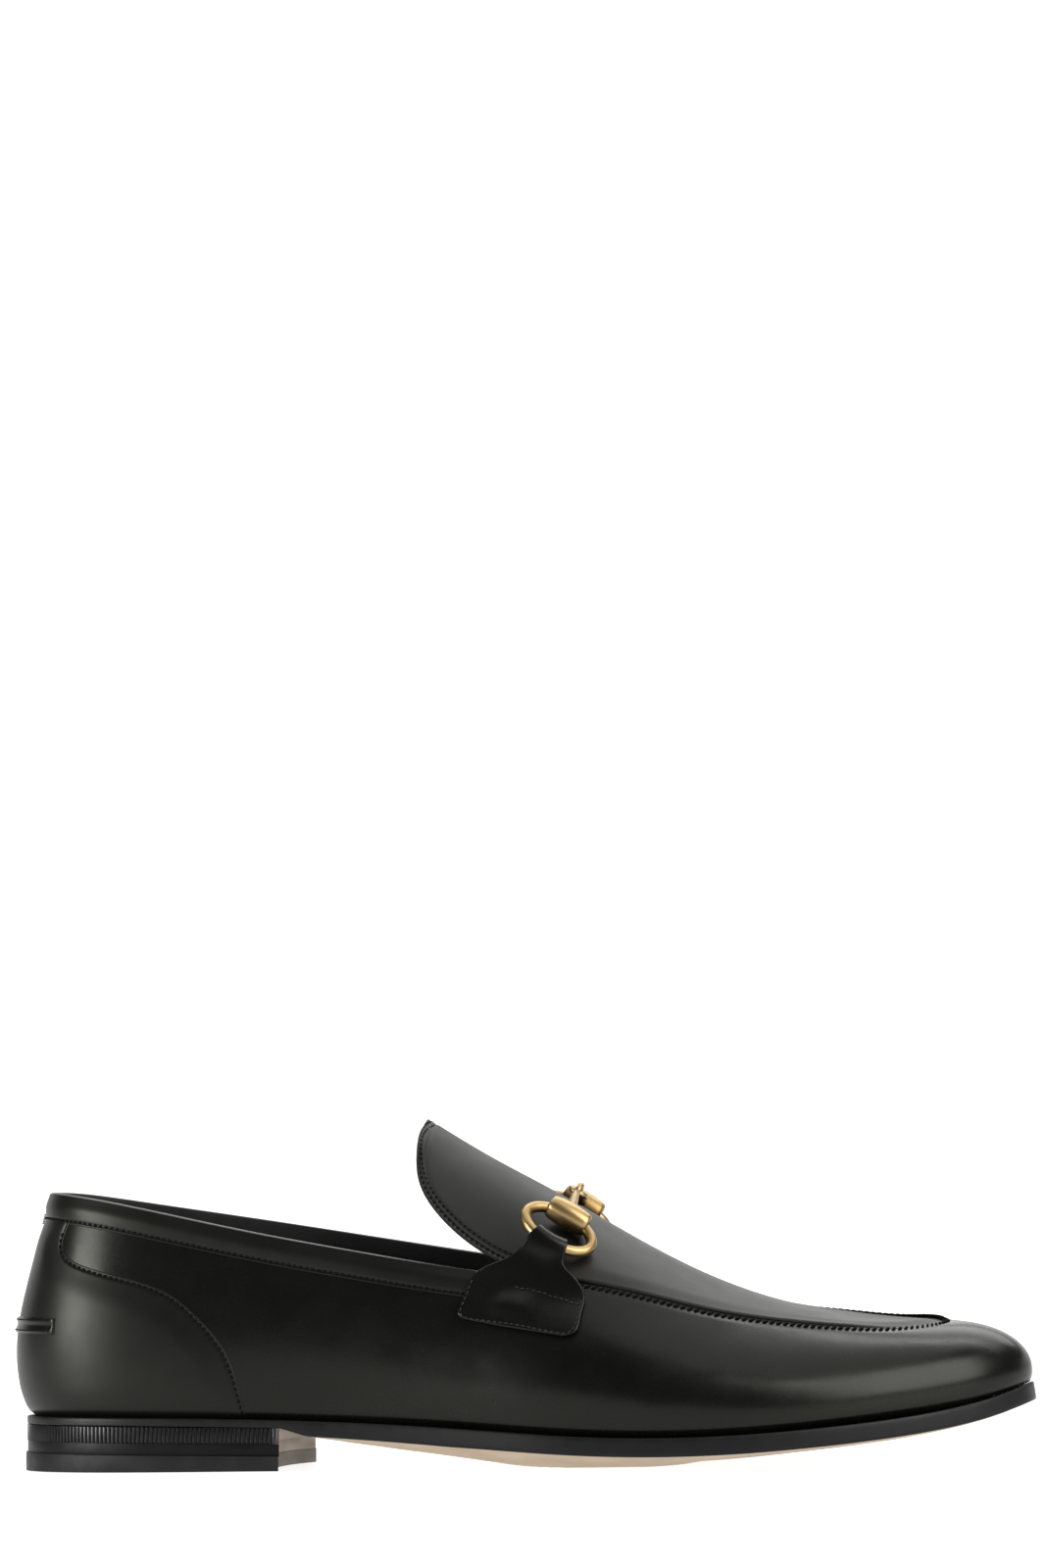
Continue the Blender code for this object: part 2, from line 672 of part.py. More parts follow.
def bit_frame(row):
    """Barrel centre and directions along the barrel, outward in the ring's plane and off the vamp."""
    side = row[0]
    barrel = np.array(row[1:4]) * MM
    wire = np.array(row[4:7]) * MM
    x = barrel[0]
    ahead = CREST_LINE(np.array([x + 8 * MM]))[0, 1] - CREST_LINE(np.array([x - 8 * MM]))[0, 1]
    along = unit(np.array([16 * MM, 0.0, ahead]))
    out = wire - barrel
    out = unit(out - along * out.dot(along))
    lift = unit(np.cross(along, out))
    lift = lift if lift[2] > 0 else -lift
    return side, barrel, along, out, lift


def ring_point(frame, angle):
    """Middle of the ring's wire: angle 0 is where the loop holds it."""
    side, barrel, along, out, lift = frame
    half = 0.5 * RING_REACH
    angle = np.asarray(angle, float)[:, None]
    return barrel + out * half + out * half * np.cos(angle) + along * RING_LONG * np.sin(angle)


def loop_columns(frame, share):
    """Path of the leather loop at one fraction across its width."""
    side = frame[0]
    points = []
    for name, rear, rear_depth, front, front_depth in LOOP_BASE:
        x = (rear + (front - rear) * share) * MM
        depth = rear_depth + (front_depth - rear_depth) * share
        u = section_at(x, side, TOP)
        v = float(wall_level(np.array([u]), np.array([depth * MM]))[0])
        lifted = GAP + 0.5 * LOOP + 1.3 * MM * (1 - min(depth / 8.0, 1)) ** 1.5
        normal = wall_normal(u, v)
        if name == "lip":
            normal = unit(normal + np.array([0, 0, 0.25]))
            lifted = 2.6 * MM
        points.append(wall_point(u, v) + normal * lifted)
    angle = math.asin((share - 0.5) * LOOP_NECK)
    wire = ring_point(frame, np.array([angle]))[0]
    lift = frame[4]
    inward = -unit(frame[3] * RING_LONG * math.cos(angle) + frame[2] * 0.5 * RING_REACH * math.sin(angle))
    bend = RING_WIRE + GAP + 0.5 * LOOP
    lip = points[-1]
    crown = wire + (lift * math.cos(LOOP_LEAVE) - inward * math.sin(LOOP_LEAVE)) * bend
    waist = lip + (crown - lip) * 0.5
    waist[0] = LOOP_WAIST_REAR + (LOOP_WAIST_FRONT - LOOP_WAIST_REAR) * share
    points.append(waist)
    for turn in np.append([-LOOP_LEAVE, -0.5 * LOOP_LEAVE], np.radians([0, 30, 60, 90, 120, 150, 180])):
        points.append(wire + (lift * math.cos(turn) + inward * math.sin(turn)) * bend)
    points.append(wire - lift * bend - inward * 2.6 * MM)
    return np.array(points)


def make_loop(frame, name):
    surface = Surface()
    grid = np.array([loop_columns(frame, share) for share in np.linspace(0, 1, 8)])
    surface.add_array(grid)
    return thick(surface, -0.5 * LOOP, 0.5 * LOOP, name, "calf", from_middle)


def sweep(points, radius, closed, sides=6):
    """Round bar along points."""
    form = bmesh.new()
    points = np.asarray(points, float)
    radius = np.broadcast_to(radius, len(points))
    rings = []
    hint = None
    count = len(points)
    for i in range(count):
        ahead = points[(i + 1) % count] if closed else points[min(i + 1, count - 1)]
        behind = points[i - 1] if closed or i else points[0]
        tangent = unit(ahead - behind)
        if hint is None:
            hint = np.array([0.3, 0.5, 0.8])
        cross = unit(hint - tangent * hint.dot(tangent))
        hint = cross
        other = np.cross(tangent, cross)
        turn = np.linspace(0, 2 * math.pi, sides, endpoint=False)
        ring = points[i] + radius[i] * (np.cos(turn)[:, None] * cross + np.sin(turn)[:, None] * other)
        rings.append([form.verts.new(p) for p in ring])
    for i in range(count if closed else count - 1):
        shift = 0
        nxt = rings[(i + 1) % count]
        if closed and i == count - 1:
            shift = min(range(sides), key=lambda k: (nxt[k].co - rings[i][0].co).length)
        for j in range(sides):
            k = (j + 1) % sides
            form.faces.new((rings[i][j], rings[i][k], nxt[(k + shift) % sides], nxt[(j + shift) % sides]))
    if not closed:
        form.faces.new(rings[0])
        form.faces.new(rings[-1])
    return form


def join(first, others):
    """Boolean union of tool objects into the first one, which keeps its name."""
    for tool in others:
        cut = first.modifiers.new("union", "BOOLEAN")
        cut.operation = "UNION"
        cut.solver = "EXACT"
        cut.object = tool
        tool.hide_render = True
        tool.display_type = "WIRE"
    return first


def eye_centre(side, x):
    """Middle of one eye, over the ridge where the two halves link."""
    y = EYE_Y + (EYE_RING if side > 0 else 0.0)
    ridge = CREST_LINE(np.array([x]))[0, 1]
    return np.array([x, y, ridge + EYE_LIFT])


def make_bit(frame, name):
    """One cast half of the bit: ring, barrel, stem and eye."""
    side, barrel, along, out, lift = frame
    ring = sweep(ring_point(frame, np.linspace(0, 2 * math.pi, 20, endpoint=False)), RING_WIRE, True, 8)
    body = finish(ring, name, "brass")
    half = 0.5 * BARREL_LONG
    reach = np.array([-1, -0.9, -0.5, 0, 0.5, 0.9, 1])
    rise = [BARREL_END * 0.85, BARREL_END, BARREL_FAT * 0.96]
    fat = np.array(rise + [BARREL_FAT] + rise[::-1])
    turned = sweep(barrel + along * half * reach[:, None], fat, False, 10)
    middle = 0.5 * (BIT[0][1] + BIT[1][1]) * MM + 0.6 * MM
    eye = eye_centre(side, middle)
    turn = np.linspace(0, 2 * math.pi, 10, endpoint=False)[:, None]
    level = np.array([0.0, 1.0, 0.0])
    second = np.cross(along, level) if side < 0 else along
    link = sweep(eye + EYE_RING * (np.cos(turn) * level + np.sin(turn) * second), EYE_WIRE, True)
    end = eye + np.array([0.0, side * (EYE_RING + 0.3 * MM), 0.0])
    bar = sweep([barrel, 0.5 * (barrel + end) + lift * 0.6 * MM, end], [STEM * 1.25, STEM, EYE_WIRE], False)
    tools = [finish(turned, name + "_barrel", "brass"), finish(bar, name + "_stem", "brass")]
    tools.append(finish(link, name + "_eye", "brass"))
    return join(body, tools)


def material(name, colour, roughness, metallic):
    made = bpy.data.materials.new(name)
    made.use_nodes = True
    shader = made.node_tree.nodes["Principled BSDF"]
    shader.inputs["Base Color"].default_value = (*colour, 1.0)
    shader.inputs["Roughness"].default_value = roughness
    shader.inputs["Metallic"].default_value = metallic
    return made


for old in list(bpy.data.objects):
    bpy.data.objects.remove(old)

MATERIALS = {
    "calf": material("calf", (0.012, 0.012, 0.014), 0.36, 0.0),
    "lining": material("lining", (0.02, 0.019, 0.018), 0.6, 0.0),
    "sole_leather": material("sole_leather", (0.018, 0.017, 0.017), 0.5, 0.0),
    "heel_leather": material("heel_leather", (0.016, 0.016, 0.016), 0.45, 0.0),
    "rubber": material("rubber", (0.02, 0.02, 0.02), 0.6, 0.0),
    "brass": material("brass", (0.55, 0.38, 0.16), 0.32, 1.0),
}

make_outsole()
make_insole()
make_heel()
make_upper()
make_apron()
make_counter()
make_band()
make_heel_tab()
for BIT_ROW in BIT:
    PLACE = bit_frame(BIT_ROW)
    SIDE = "lateral" if BIT_ROW[0] < 0 else "medial"
    make_loop(PLACE, "bit_loop_" + SIDE)
    make_bit(PLACE, "bit_half_" + SIDE)
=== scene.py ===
"""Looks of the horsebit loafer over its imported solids: fine skins, stitches, materials, light and camera.

The driving sizes and section tables are the same as in the part's own source, and the fine sizes after them
only show here. X runs from heel to toe, +Y is the medial side, and the sole stands on Z = 0.
"""

import math

import bmesh
import bpy
import numpy as np
from mathutils import Matrix, Vector


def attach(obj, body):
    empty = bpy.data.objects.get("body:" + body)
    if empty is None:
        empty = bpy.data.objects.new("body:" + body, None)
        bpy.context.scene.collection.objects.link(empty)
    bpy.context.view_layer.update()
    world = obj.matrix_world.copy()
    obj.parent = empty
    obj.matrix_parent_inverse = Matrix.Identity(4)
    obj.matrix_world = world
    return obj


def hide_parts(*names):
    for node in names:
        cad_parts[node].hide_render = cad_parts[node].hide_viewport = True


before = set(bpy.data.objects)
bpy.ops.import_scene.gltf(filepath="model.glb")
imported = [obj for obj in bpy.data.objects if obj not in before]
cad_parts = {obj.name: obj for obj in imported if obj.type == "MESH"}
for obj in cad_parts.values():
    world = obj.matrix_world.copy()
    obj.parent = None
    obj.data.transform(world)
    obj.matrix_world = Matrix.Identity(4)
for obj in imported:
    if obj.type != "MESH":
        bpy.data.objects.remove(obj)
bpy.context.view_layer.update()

MM = 0.001

# Driving sizes
WALL = 2.0 * MM
GAP = 0.3 * MM
APRON = 1.0 * MM
APRON_GAP = 0.3 * MM
LOOP = 1.2 * MM
WELT = 1.9 * MM
TOE_TRIM = 0.4
HEEL_TRIM = 0.4
SOLE_EDGE = 5.5 * MM
SHANK_EDGE = 4.4 * MM
SEAT_EDGE = 2.3 * MM
INSOLE = 2.2 * MM
HEEL_BREAST = -66.0 * MM
BREAST_HOLLOW = 5.0 * MM
RIB_BAND = 4.4 * MM
TOP_LIFT = 5.2 * MM
LIFT_STEP = 0.7 * MM
BAND_DEPTH = 8.5 * MM
HEEL_TAB = 0.7 * MM
HEEL_TAB_LOW = 40.2 * MM
HEEL_TAB_HIGH = 45.0 * MM
HEEL_TAB_REACH = 1.28
FULL_LOW = 0.38
FULL_TOP = 0.46

# The shoe is laid out with a level heel seat, then tipped to stand on its heel and ball
STANCE = math.radians(0.9)
STANCE_PIVOT = -125.0 * MM

# Bit sizes
RING_WIRE = 1.6 * MM
RING_LONG = 10.5 * MM
RING_REACH = 14.2 * MM
BARREL_LONG = 12.7 * MM
BARREL_FAT = 4.0 * MM
STEM = 1.35 * MM
EYE_RING = 2.3 * MM
EYE_WIRE = 0.95 * MM

# Sections round the shoe, from the heel back along the lateral side to the toe and home on the medial side.
# Feather point, top point, flare of the wall at the sole and its lean at the top in degrees.
SECTION_COLUMNS = ("name", "foot_x", "foot_y", "foot_z", "top_x", "top_y", "top_z", "flare", "lean")
SECTIONS = (
    ("heel_back", -146.0, 2.0, 16.2, -139.6, 2.0, 81.7, 19, 10),
    ("heel_corner_lateral", -137.0, -17.8, 16.2, -132.6, -15.9, 81.0, 17, 12),
    ("heel_lateral", -113.0, -28.5, 16.3, -112.0, -25.2, 77.7, 13, 10),
    ("quarter_lateral", -78.0, -30.0, 16.1, -77.0, -27.6, 70.5, 9, 10),
    ("waist_lateral", -44.0, -32.0, 15.4, -43.0, -29.0, 64.4, 10, 14),
    ("loop_lateral", -12.0, -38.0, 14.0, -12.0, -31.0, 59.5, 14, 22),
    ("throat_lateral", 15.0, -44.5, 12.5, 13.0, -33.0, 56.8, 18, 32),
    ("instep_lateral", 39.0, -46.8, 11.9, 36.0, -31.5, 53.0, 20, 42),
    ("ball_lateral", 64.0, -44.8, 12.6, 60.0, -26.8, 47.3, 20, 50),
    ("vamp_lateral", 91.0, -37.8, 14.8, 84.0, -21.0, 44.0, 22, 57),
    ("toe_lateral", 117.5, -26.0, 18.2, 105.0, -14.6, 42.6, 25, 68),
    ("toe_corner_lateral", 138.4, -11.2, 22.9, 118.4, -5.6, 43.2, 26, 80),
    ("toe_tip", 149.3, 6.5, 27.0, 123.8, 6.5, 44.2, 14, 93),
    ("toe_corner_medial", 139.9, 23.2, 23.5, 119.2, 18.2, 45.0, 25, 80),
    ("toe_medial", 120.5, 36.0, 19.0, 108.0, 27.2, 45.0, 24, 68),
    ("vamp_medial", 94.0, 43.6, 15.2, 87.0, 33.2, 46.8, 19, 56),
    ("ball_medial", 66.0, 46.3, 12.7, 62.0, 36.0, 49.4, 16, 46),
    ("instep_medial", 40.0, 43.5, 11.9, 37.0, 37.0, 54.7, 14, 38),
    ("throat_medial", 15.0, 36.5, 12.6, 13.0, 36.0, 59.5, 16, 28),
    ("loop_medial", -12.0, 30.5, 14.0, -12.0, 33.5, 63.4, 18, 20),
    ("waist_medial", -44.0, 28.5, 15.4, -43.0, 32.0, 68.0, 16, 14),
    ("quarter_medial", -78.0, 30.5, 16.1, -77.0, 31.2, 73.1, 11, 10),
    ("heel_medial", -113.0, 31.7, 16.3, -112.0, 28.8, 78.2, 13, 10),
    ("heel_corner_medial", -137.0, 21.6, 16.2, -132.6, 19.7, 81.2, 17, 12),
)
TURNS = len(SECTIONS)
TOE = TURNS // 2
THROAT = 6

# Ridge of the apron's outer face, from the tongue's tip to the seam at the toe
CREST_COLUMNS = ("name", "x", "y", "z")
CREST = (
    ("tongue_tip", -29.0, 4.0, 104.1),
    ("tongue", -9.0, 4.0, 92.1),
    ("throat", 8.3, 4.0, 82.9),
    ("instep", 31.5, 4.5, 69.6),
    ("ball", 54.5, 5.5, 57.8),
    ("vamp", 77.5, 6.5, 49.6),
    ("apron", 100.0, 6.8, 44.9),
    ("apron_toe", 116.0, 6.6, 44.6),
    ("apron_tip", 124.2, 6.5, 45.5),
)

# Free edge of the tongue, from its tip down to the throat
TONGUE_COLUMNS = ("name", "crest_x", "edge_x", "lateral_half", "lateral_z", "medial_half", "medial_z")
TONGUE = (
    ("tip", -28.4, -28.6, 4.0, 103.4, 4.0, 103.4),
    ("shoulder", -25.8, -28.9, 13.0, 98.0, 13.0, 98.2),
    ("side", -21.0, -28.6, 20.0, 91.0, 19.5, 91.8),
    ("rear_edge", -14.5, -25.9, 25.0, 82.8, 23.5, 84.6),
    ("rear_bend", -7.0, -18.5, 29.0, 73.6, 26.0, 76.4),
    ("low_edge", 0.5, -8.8, 31.5, 66.0, 28.3, 69.4),
    ("behind_loop", 7.0, 1.8, 33.5, 60.8, 30.6, 64.4),
)

# Front edge of the counter as height against length, on both sides
COUNTER_COLUMNS = ("name", "z", "x")
COUNTER = (
    ("sole", 15.0, -75.6),
    ("low", 25.3, -78.2),
    ("side", 37.6, -83.3),
    ("shoulder", 48.0, -93.0),
    ("upper_bend", 55.6, -107.6),
    ("wing", 58.8, -120.0),
    ("hollow", 61.8, -128.7),
    ("waist", 66.5, -132.0),
    ("ear", 74.4, -129.0),
)

# Swell of the sole's underside below its edge, along the middle
BELLY_COLUMNS = ("name", "x", "swell")
BELLY = (
    ("seat", -150.0, 0.0),
    ("breast", -66.0, 0.0),
    ("shank", -57.0, 1.1),
    ("waist_rear", -46.0, 2.3),
    ("waist", -32.0, 3.3),
    ("waist_front", -17.0, 4.1),
    ("tread_rear", 0.0, 5.4),
    ("tread", 20.0, 6.3),
    ("tread_front", 40.0, 5.0),
    ("ball", 55.0, 2.8),
    ("vamp", 83.0, 1.9),
    ("toe_rear", 112.0, 1.4),
    ("toe", 130.0, 0.8),
    ("tip", 151.0, 0.2),
)

# Leather loop: its rear and front edge as X and as depth below the seam, from the hem to the lip
# Columns: name, rear_x, rear_depth, front_x, front_depth
LOOP_BASE = (
    ("hem", -9.6, 15.6, 18.4, 19.0),
    ("corner", -12.0, 14.4, 21.6, 17.6),
    ("pad", -11.2, 9.5, 23.2, 12.0),
    ("pad_top", -9.4, 3.0, 23.8, 5.6),
    ("lip", -5.4, 0.0, 19.6, 0.0),
)
LOOP_WAIST_REAR = 4.4 * MM
LOOP_WAIST_FRONT = 17.0 * MM
LOOP_NECK = 0.95
LOOP_LEAVE = math.radians(38)

# Bit halves: barrel centre and the middle of the wire that the loop holds
# Columns: side, barrel_x, barrel_y, barrel_z, wire_x, wire_y, wire_z
BIT = (
    (-1, 16.9, -20.8, 74.8, 14.6, -31.4, 66.4),
    (1, 15.8, 22.6, 78.3, 13.6, 33.6, 70.1),
)
EYE_Y = 0.6 * MM
EYE_LIFT = 3.7 * MM

# Steps of a search, the sections between which the counter ends, steps of slopes, and the height from which
# outward is told
HALVINGS = 40
COUNTER_SEARCH = (0.2, 4.6)
SLOPE_STEP = 0.02
CREST_STEP = 8.0 * MM
MIDDLE_HEIGHT = 35.0 * MM

# Upper: lasted edge, seam groove and the reach of the creases
# A pair named as a fade, up or down is its start and its run in millimetres
FINE = 12
UPPER_LEVELS = np.concatenate(
    [np.linspace(0, 0.08, 8)[:-1], np.linspace(0.08, 0.9, 27)[:-1], np.linspace(0.9, 1, 13)]
)
TUCK = 1.3 * MM
TUCK_RISE = 3.0 * MM
TOE_TUCK = 0.2
TOE_TUCK_FADE = (110.0, 30.0)
FOOT_DROP = 0.27 * MM
WALL_BOW = 1.08
SEAM_GROOVE = 0.18 * MM
SEAM_GROOVE_HALF = 1.1 * MM
SEAM_DEPTH = 1.1 * MM
SEAM_EDGE = 0.8 * MM
SEAM_START = 6.35
SEAM_FADE = 0.3
SEAM_FADE_RUN = 0.5
FAR_TURN = 1.2
FAR_RIDGE = 0.5 * MM
FAR_RIDGE_DEPTH = 1.6 * MM
FAR_RIDGE_HALF = 1.3 * MM
CREASE_SIDE = 12.0 * MM
CREASE_TOP = 4.0 * MM
CREASE_FOOT = 6.0 * MM

# Apron and tongue: lips of the seam and grooves of the stitched edge
SEAM_LIP = 0.45 * MM
SEAM_CUSHION = 6.0 * MM
FAR_LIP = 0.55 * MM
FAR_LIP_FADE = (10.0, 10.0)
TOE_LIP = 0.8 * MM
TOE_LIP_FADE = (96.0, 20.0)
THROAT_FADE = 20.0 * MM
LIP_ROUND = 0.5 * MM
LIP_ROUND_VAMP = 0.85 * MM
TONGUE_SINK = 0.28 * MM
TONGUE_FADE = 8.0 * MM
TONGUE_ROW_END = 9.0 * MM
TONGUE_STEP = 0.3 * MM

# Rows of stitches on the tongue: how far inside its edge
TONGUE_ROWS = (1.3 * MM, 2.8 * MM)

# Overlays: counter, collar band and heel tab
LAID = 0.06 * MM
STEP_ROUND = 0.5 * MM
COUNTER_STEP = 0.3 * MM
COUNTER_RISE = 0.75 * MM
COUNTER_REACH = 10.0 * MM
COUNTER_FACE = LAID + COUNTER_STEP + COUNTER_RISE
COUNTER_UNDER_BAND = 0.03
BAND_STEP = 0.3 * MM
BAND_RISE = 0.7 * MM
BAND_REACH = 5.0 * MM
BAND_SHOWN_END = -7.0 * MM
BAND_TURN = 0.45 * MM
BAND_TURN_REACH = 4.0 * MM
RIM_DROP = 0.5 * MM
RIM_RISE = 0.45 * MM
RIM_SLANT = 0.7 * MM
TAB_ROUND = 0.7 * MM
TAB_FOLD = 0.32 * MM
TAB_FOLD_HALF = 0.75 * MM
TAB_FOLD_EDGE = 1.5 * MM
TAB_INSET = 0.9 * MM
TAB_SINK = 0.1 * MM

# Heights up the collar band, closer at its stepped edge
BAND_CLIMBS = np.concatenate(
    [[0, 0.05, 0.15, 0.3, 0.5], np.linspace(0.75, 2.5, 8), np.linspace(3.1, 7.8, 10)]
) * MM

# Inside of the collar band: depth below the rim and sink into the wall
BAND_INSIDE = ((0.6, 0.0), (1.5, 0.0), (3.0, 0.0), (4.5, 0.0), (5.6, 0.12), (6.0, 0.45))

# Leather loops
LOOP_RISE = 1.3 * MM
LOOP_RISE_DEPTH = 8.0
LOOP_FOLD = (0, 30, 60, 90, 120, 150, 180)
LOOP_TAIL = 2.6 * MM
LOOP_ROUND = 0.45 * MM
LOOP_LIP = 15.0 * MM
LOOP_CROSS = 12.4 * MM
LOOP_WIDE = 30.0 * MM
LIP_LIFT = 2.6 * MM
LIP_TILT = 0.25
HEM_SHARE = 0.1
LOOP_SWELL = 0.85 * MM
LOOP_SWELL_AT = 0.44
LOOP_SWELL_WIDE = 0.17
SWELL_UP = (0.8, 6.0)
SWELL_DOWN = (6.5, 8.5)

# Row of stitches across the loop: shares of its width from and to
CROSS_SHARES = (0.36, 0.97)

# Bit castings
TUBE_SIDES = 20
BARREL_WIDE = 0.94
BARREL_POWER = 2.2
EYE_AHEAD = 0.6 * MM
STEM_SINK = 0.3 * MM
STEM_BOW = 0.6 * MM

# Sole, sock and heel
SHANK_NEAR = 8.0 * MM
SHANK_FAR = 50.0 * MM
BELLY_POWER = 2.4
BELLY_WIDTH = 30.0 * MM
SOLE_ROUND = 1.0 * MM
TOE_SLANT = 0.8 * MM
PROFILE_DEPTH = 4.0 * MM
HEEL_FADE = 2.0 * MM
HEEL_EDGE_ROUND = 0.2
SOCK_GAP = 0.2 * MM
SOCK_END = 20.0 * MM
SOCK_EDGE = 0.4 * MM
SOCK_ROUND = 2.0 * MM
HEEL_CUP = 0.9 * MM
CUP_FADE = (60.0, 50.0)
SHOWN_RIB_PITCH = 1.3 * MM
SHOWN_RIB_DEPTH = 0.8 * MM
RIB_STEPS = 6
RIB_VALLEY = -0.4
RIB_FADE = 3.0 * MM
STACK_SPREAD = -0.2 * MM
LEATHER_BEVEL = 0.05 * MM
LIFT_BEVEL = 0.2 * MM

# Stitch rows: pitch, length, thread radius, lift off the leather and slant from the row in radians
STITCHES = {
    "edge": (1.8, 1.35, 0.32, 0.0, 0.0),
    "tack": (2.2, 2.0, 0.26, 0.0, 0.0),
    "tongue": (1.8, 1.2, 0.23, 0.0, 0.0),
    "seam": (2.0, 2.4, 0.35, 0.03, 0.7),
    "far_seam": (2.0, 3.0, 0.4, 0.0, 0.25),
    "loop": (1.7, 1.25, 0.27, 0.0, 0.0),
    "loop_cross": (1.7, 1.25, 0.25, 0.0, 0.0),
    "heel_tab": (1.6, 1.1, 0.2, 0.0, 0.0),
}
STITCH_INSET = 1.0 * MM
STITCH_SINK = 0.22 * MM
STITCH_SINK_WIDE = 0.5 * MM
STITCH_AHEAD = 0.4 * MM
FAR_SEAM_START = TOE + 0.2
FAR_SEAM_LIFT = 0.4 * MM
TACK_HALF = 0.05
TACK_CLIMBS = np.linspace(-0.8, 1.2, 5) * MM
TACK_LIFT = 1.25 * MM
BACK_HEIGHT = 66.0 * MM

# One stitch from end to end: place along it and share of its thickness
STITCH_PROFILE = ((-1, 0.45), (-0.8, 0.85), (-0.35, 1), (0.35, 1), (0.8, 0.85), (1, 0.45))

# Edge of the sole from its top to its underside: inset, drop from the top or height above the underside
SOLE_PROFILE = (
    (1.0, 0.0, None),
    (0.4, 0.03, None),
    (0.12, 0.16, None),
    (0.0, 0.5, None),
    (-0.05, 1.4, None),
    (-0.05, None, 1.6),
    (0.0, None, 0.7),
    (0.15, None, 0.25),
    (0.45, None, 0.06),
    (1.0, None, 0.0),
)

# Half of the barrel's turned outline, from its end to the middle, and how much painted shade darkens its ends
# Columns: name, reach, fat, end_shade
BARREL = (
    ("face", -1.0, 0.66, 0.3),
    ("edge", -0.97, 0.77, 0.2),
    ("round", -0.9, 0.84, 0.05),
    ("shoulder", -0.78, 0.89, 0.0),
    ("rise", -0.55, 0.945, 0.0),
    ("swell", -0.25, 0.99, 0.0),
    ("middle", -0.06, 1.0, 0.0),
)

# Soft creases: line along the side in X and Z, half width and height, below zero for a trough
# Columns: name, side, x0, z0, x1, z1, width, height
CREASES = (
    ("flex_lateral", -1, 44, 24, 60, 40, 5.0, -0.16),
    ("flex_ridge_lateral", -1, 53, 22, 69, 37, 4.5, 0.10),
    ("quarter_hollow_lateral", -1, -40, 30, 0, 40, 14.0, -0.1),
    ("collar_ripple_lateral", -1, -96, 56, -90, 66, 2.2, -0.10),
    ("collar_ripple_two_lateral", -1, -84, 54, -80, 63, 2.4, -0.09),
    ("collar_ripple_three_lateral", -1, -70, 52, -68, 60, 2.6, -0.08),
    ("flex_medial", 1, 46, 24, 60, 42, 5.0, -0.16),
    ("flex_ridge_medial", 1, 55, 22, 69, 39, 4.5, 0.10),
    ("quarter_hollow_medial", 1, -40, 30, 0, 42, 14.0, -0.1),
    ("collar_ripple_medial", 1, -92, 58, -88, 66, 2.4, -0.09),
)

# Turn that stands the laid-out shoe on its heel and ball
STAND = (Matrix.Translation((STANCE_PIVOT, 0.0, 0.0)) @ Matrix.Rotation(STANCE, 4, "Y")
         @ Matrix.Translation((-STANCE_PIVOT, 0.0, 0.0)))

# Camera at the photograph's angle
CAMERA_AZIMUTH = 7.3
CAMERA_ELEVATION = 0.93
CAMERA_TARGET = (0.002, 0.0, 0.045)
CAMERA_DISTANCE = 1.6
CAMERA_LENS = 83.47
CAMERA_SHIFT = (-0.0022, 0.3403)

# Stage and light
WORLD_LIGHT = 0.08
TABLE_GLOW = 0.84
WALL_HEIGHT = 1.9
FLOOR_FRONT = -5.0
FLOOR_BACK = 3.0
FLOOR_HALF = 7.0
FLOOR_DROP = 0.1 * MM
SWEEP = 1.2

# Soft boxes: name, place, aim, size and power
LIGHTS = (
    ("overhead", (0.0, 0.2, 2.0), (0.0, 0.2, 0.0), (2.4, 2.5), 24.0),
    ("back_top", (0.45, 2.0, 1.75), (0.1, 0.0, 0.05), (2.4, 0.9), 22.0),
    ("heel_side", (-0.557, -0.37, 0.142), (-0.12, 0.0, 0.05), (0.24, 0.26), 3.5),
    ("toe_side", (1.589, -0.967, 1.065), (0.1, 0.0, 0.04), (1.6, 1.8), 53.0),
    ("backdrop", (0.0, 1.2, 2.6), (0.0, 4.2, 0.6), (5.0, 1.2), 240.0),
)

# Tones and relief of the looks
CALF_DARK = (0.0018, 0.0018, 0.0016)
CALF_LIGHT = (0.0032, 0.0032, 0.0028)
# Brass from shaded to lit, picked by random wear and by painted light and shade
BRASS_DARK = (0.06, 0.036, 0.012)
BRASS_MIDDLE = (0.22, 0.138, 0.05)
BRASS_BRIGHT = (0.37, 0.258, 0.118)
FINE_BUMP = 0.0001
LAYERS = (420, 2, 0.5, (0.05, 0.05, 1.0))


def column(table, columns, name):
    """One named column of a table as metres."""
    index = columns.index(name)
    return np.array([row[index] for row in table], float) * MM


def smooth_line(knots, values, closed=False):
    """Cubic with continuous curvature through values at knots, as a function of the knot variable."""
    knots = np.asarray(knots, float)
    values = np.asarray(values, float)
    if closed:
        values = np.vstack([values, values[:1]])
    count = len(knots)
    step = np.diff(knots)
    slope = np.diff(values, axis=0) / step[:, None]
    matrix = np.eye(count)
    right = np.zeros_like(values)
    for i in range(1, count - 1):
        matrix[i, i - 1:i + 2] = step[i - 1], 2 * (step[i - 1] + step[i]), step[i]
        right[i] = 6 * (slope[i] - slope[i - 1])
    if closed:
        matrix[0, 0] = 2 * (step[-1] + step[0])
        matrix[0, 1] = step[0]
        matrix[0, count - 2] = step[-1]
        right[0] = 6 * (slope[0] - slope[-1])
        matrix[-1, 0] = -1.0
    bend = np.linalg.solve(matrix, right)

    def evaluate(t):
        t = np.atleast_1d(np.asarray(t, float))
        if closed:
            t = knots[0] + np.mod(t - knots[0], knots[-1] - knots[0])
        i = np.clip(np.searchsorted(knots, t, side="right") - 1, 0, count - 2)
        h = step[i][:, None]
        a = (knots[i + 1] - t)[:, None] / h
        b = 1 - a
        curve = ((a ** 3 - a) * bend[i] + (b ** 3 - b) * bend[i + 1]) * h ** 2 / 6
        return a * values[i] + b * values[i + 1] + curve

    return evaluate


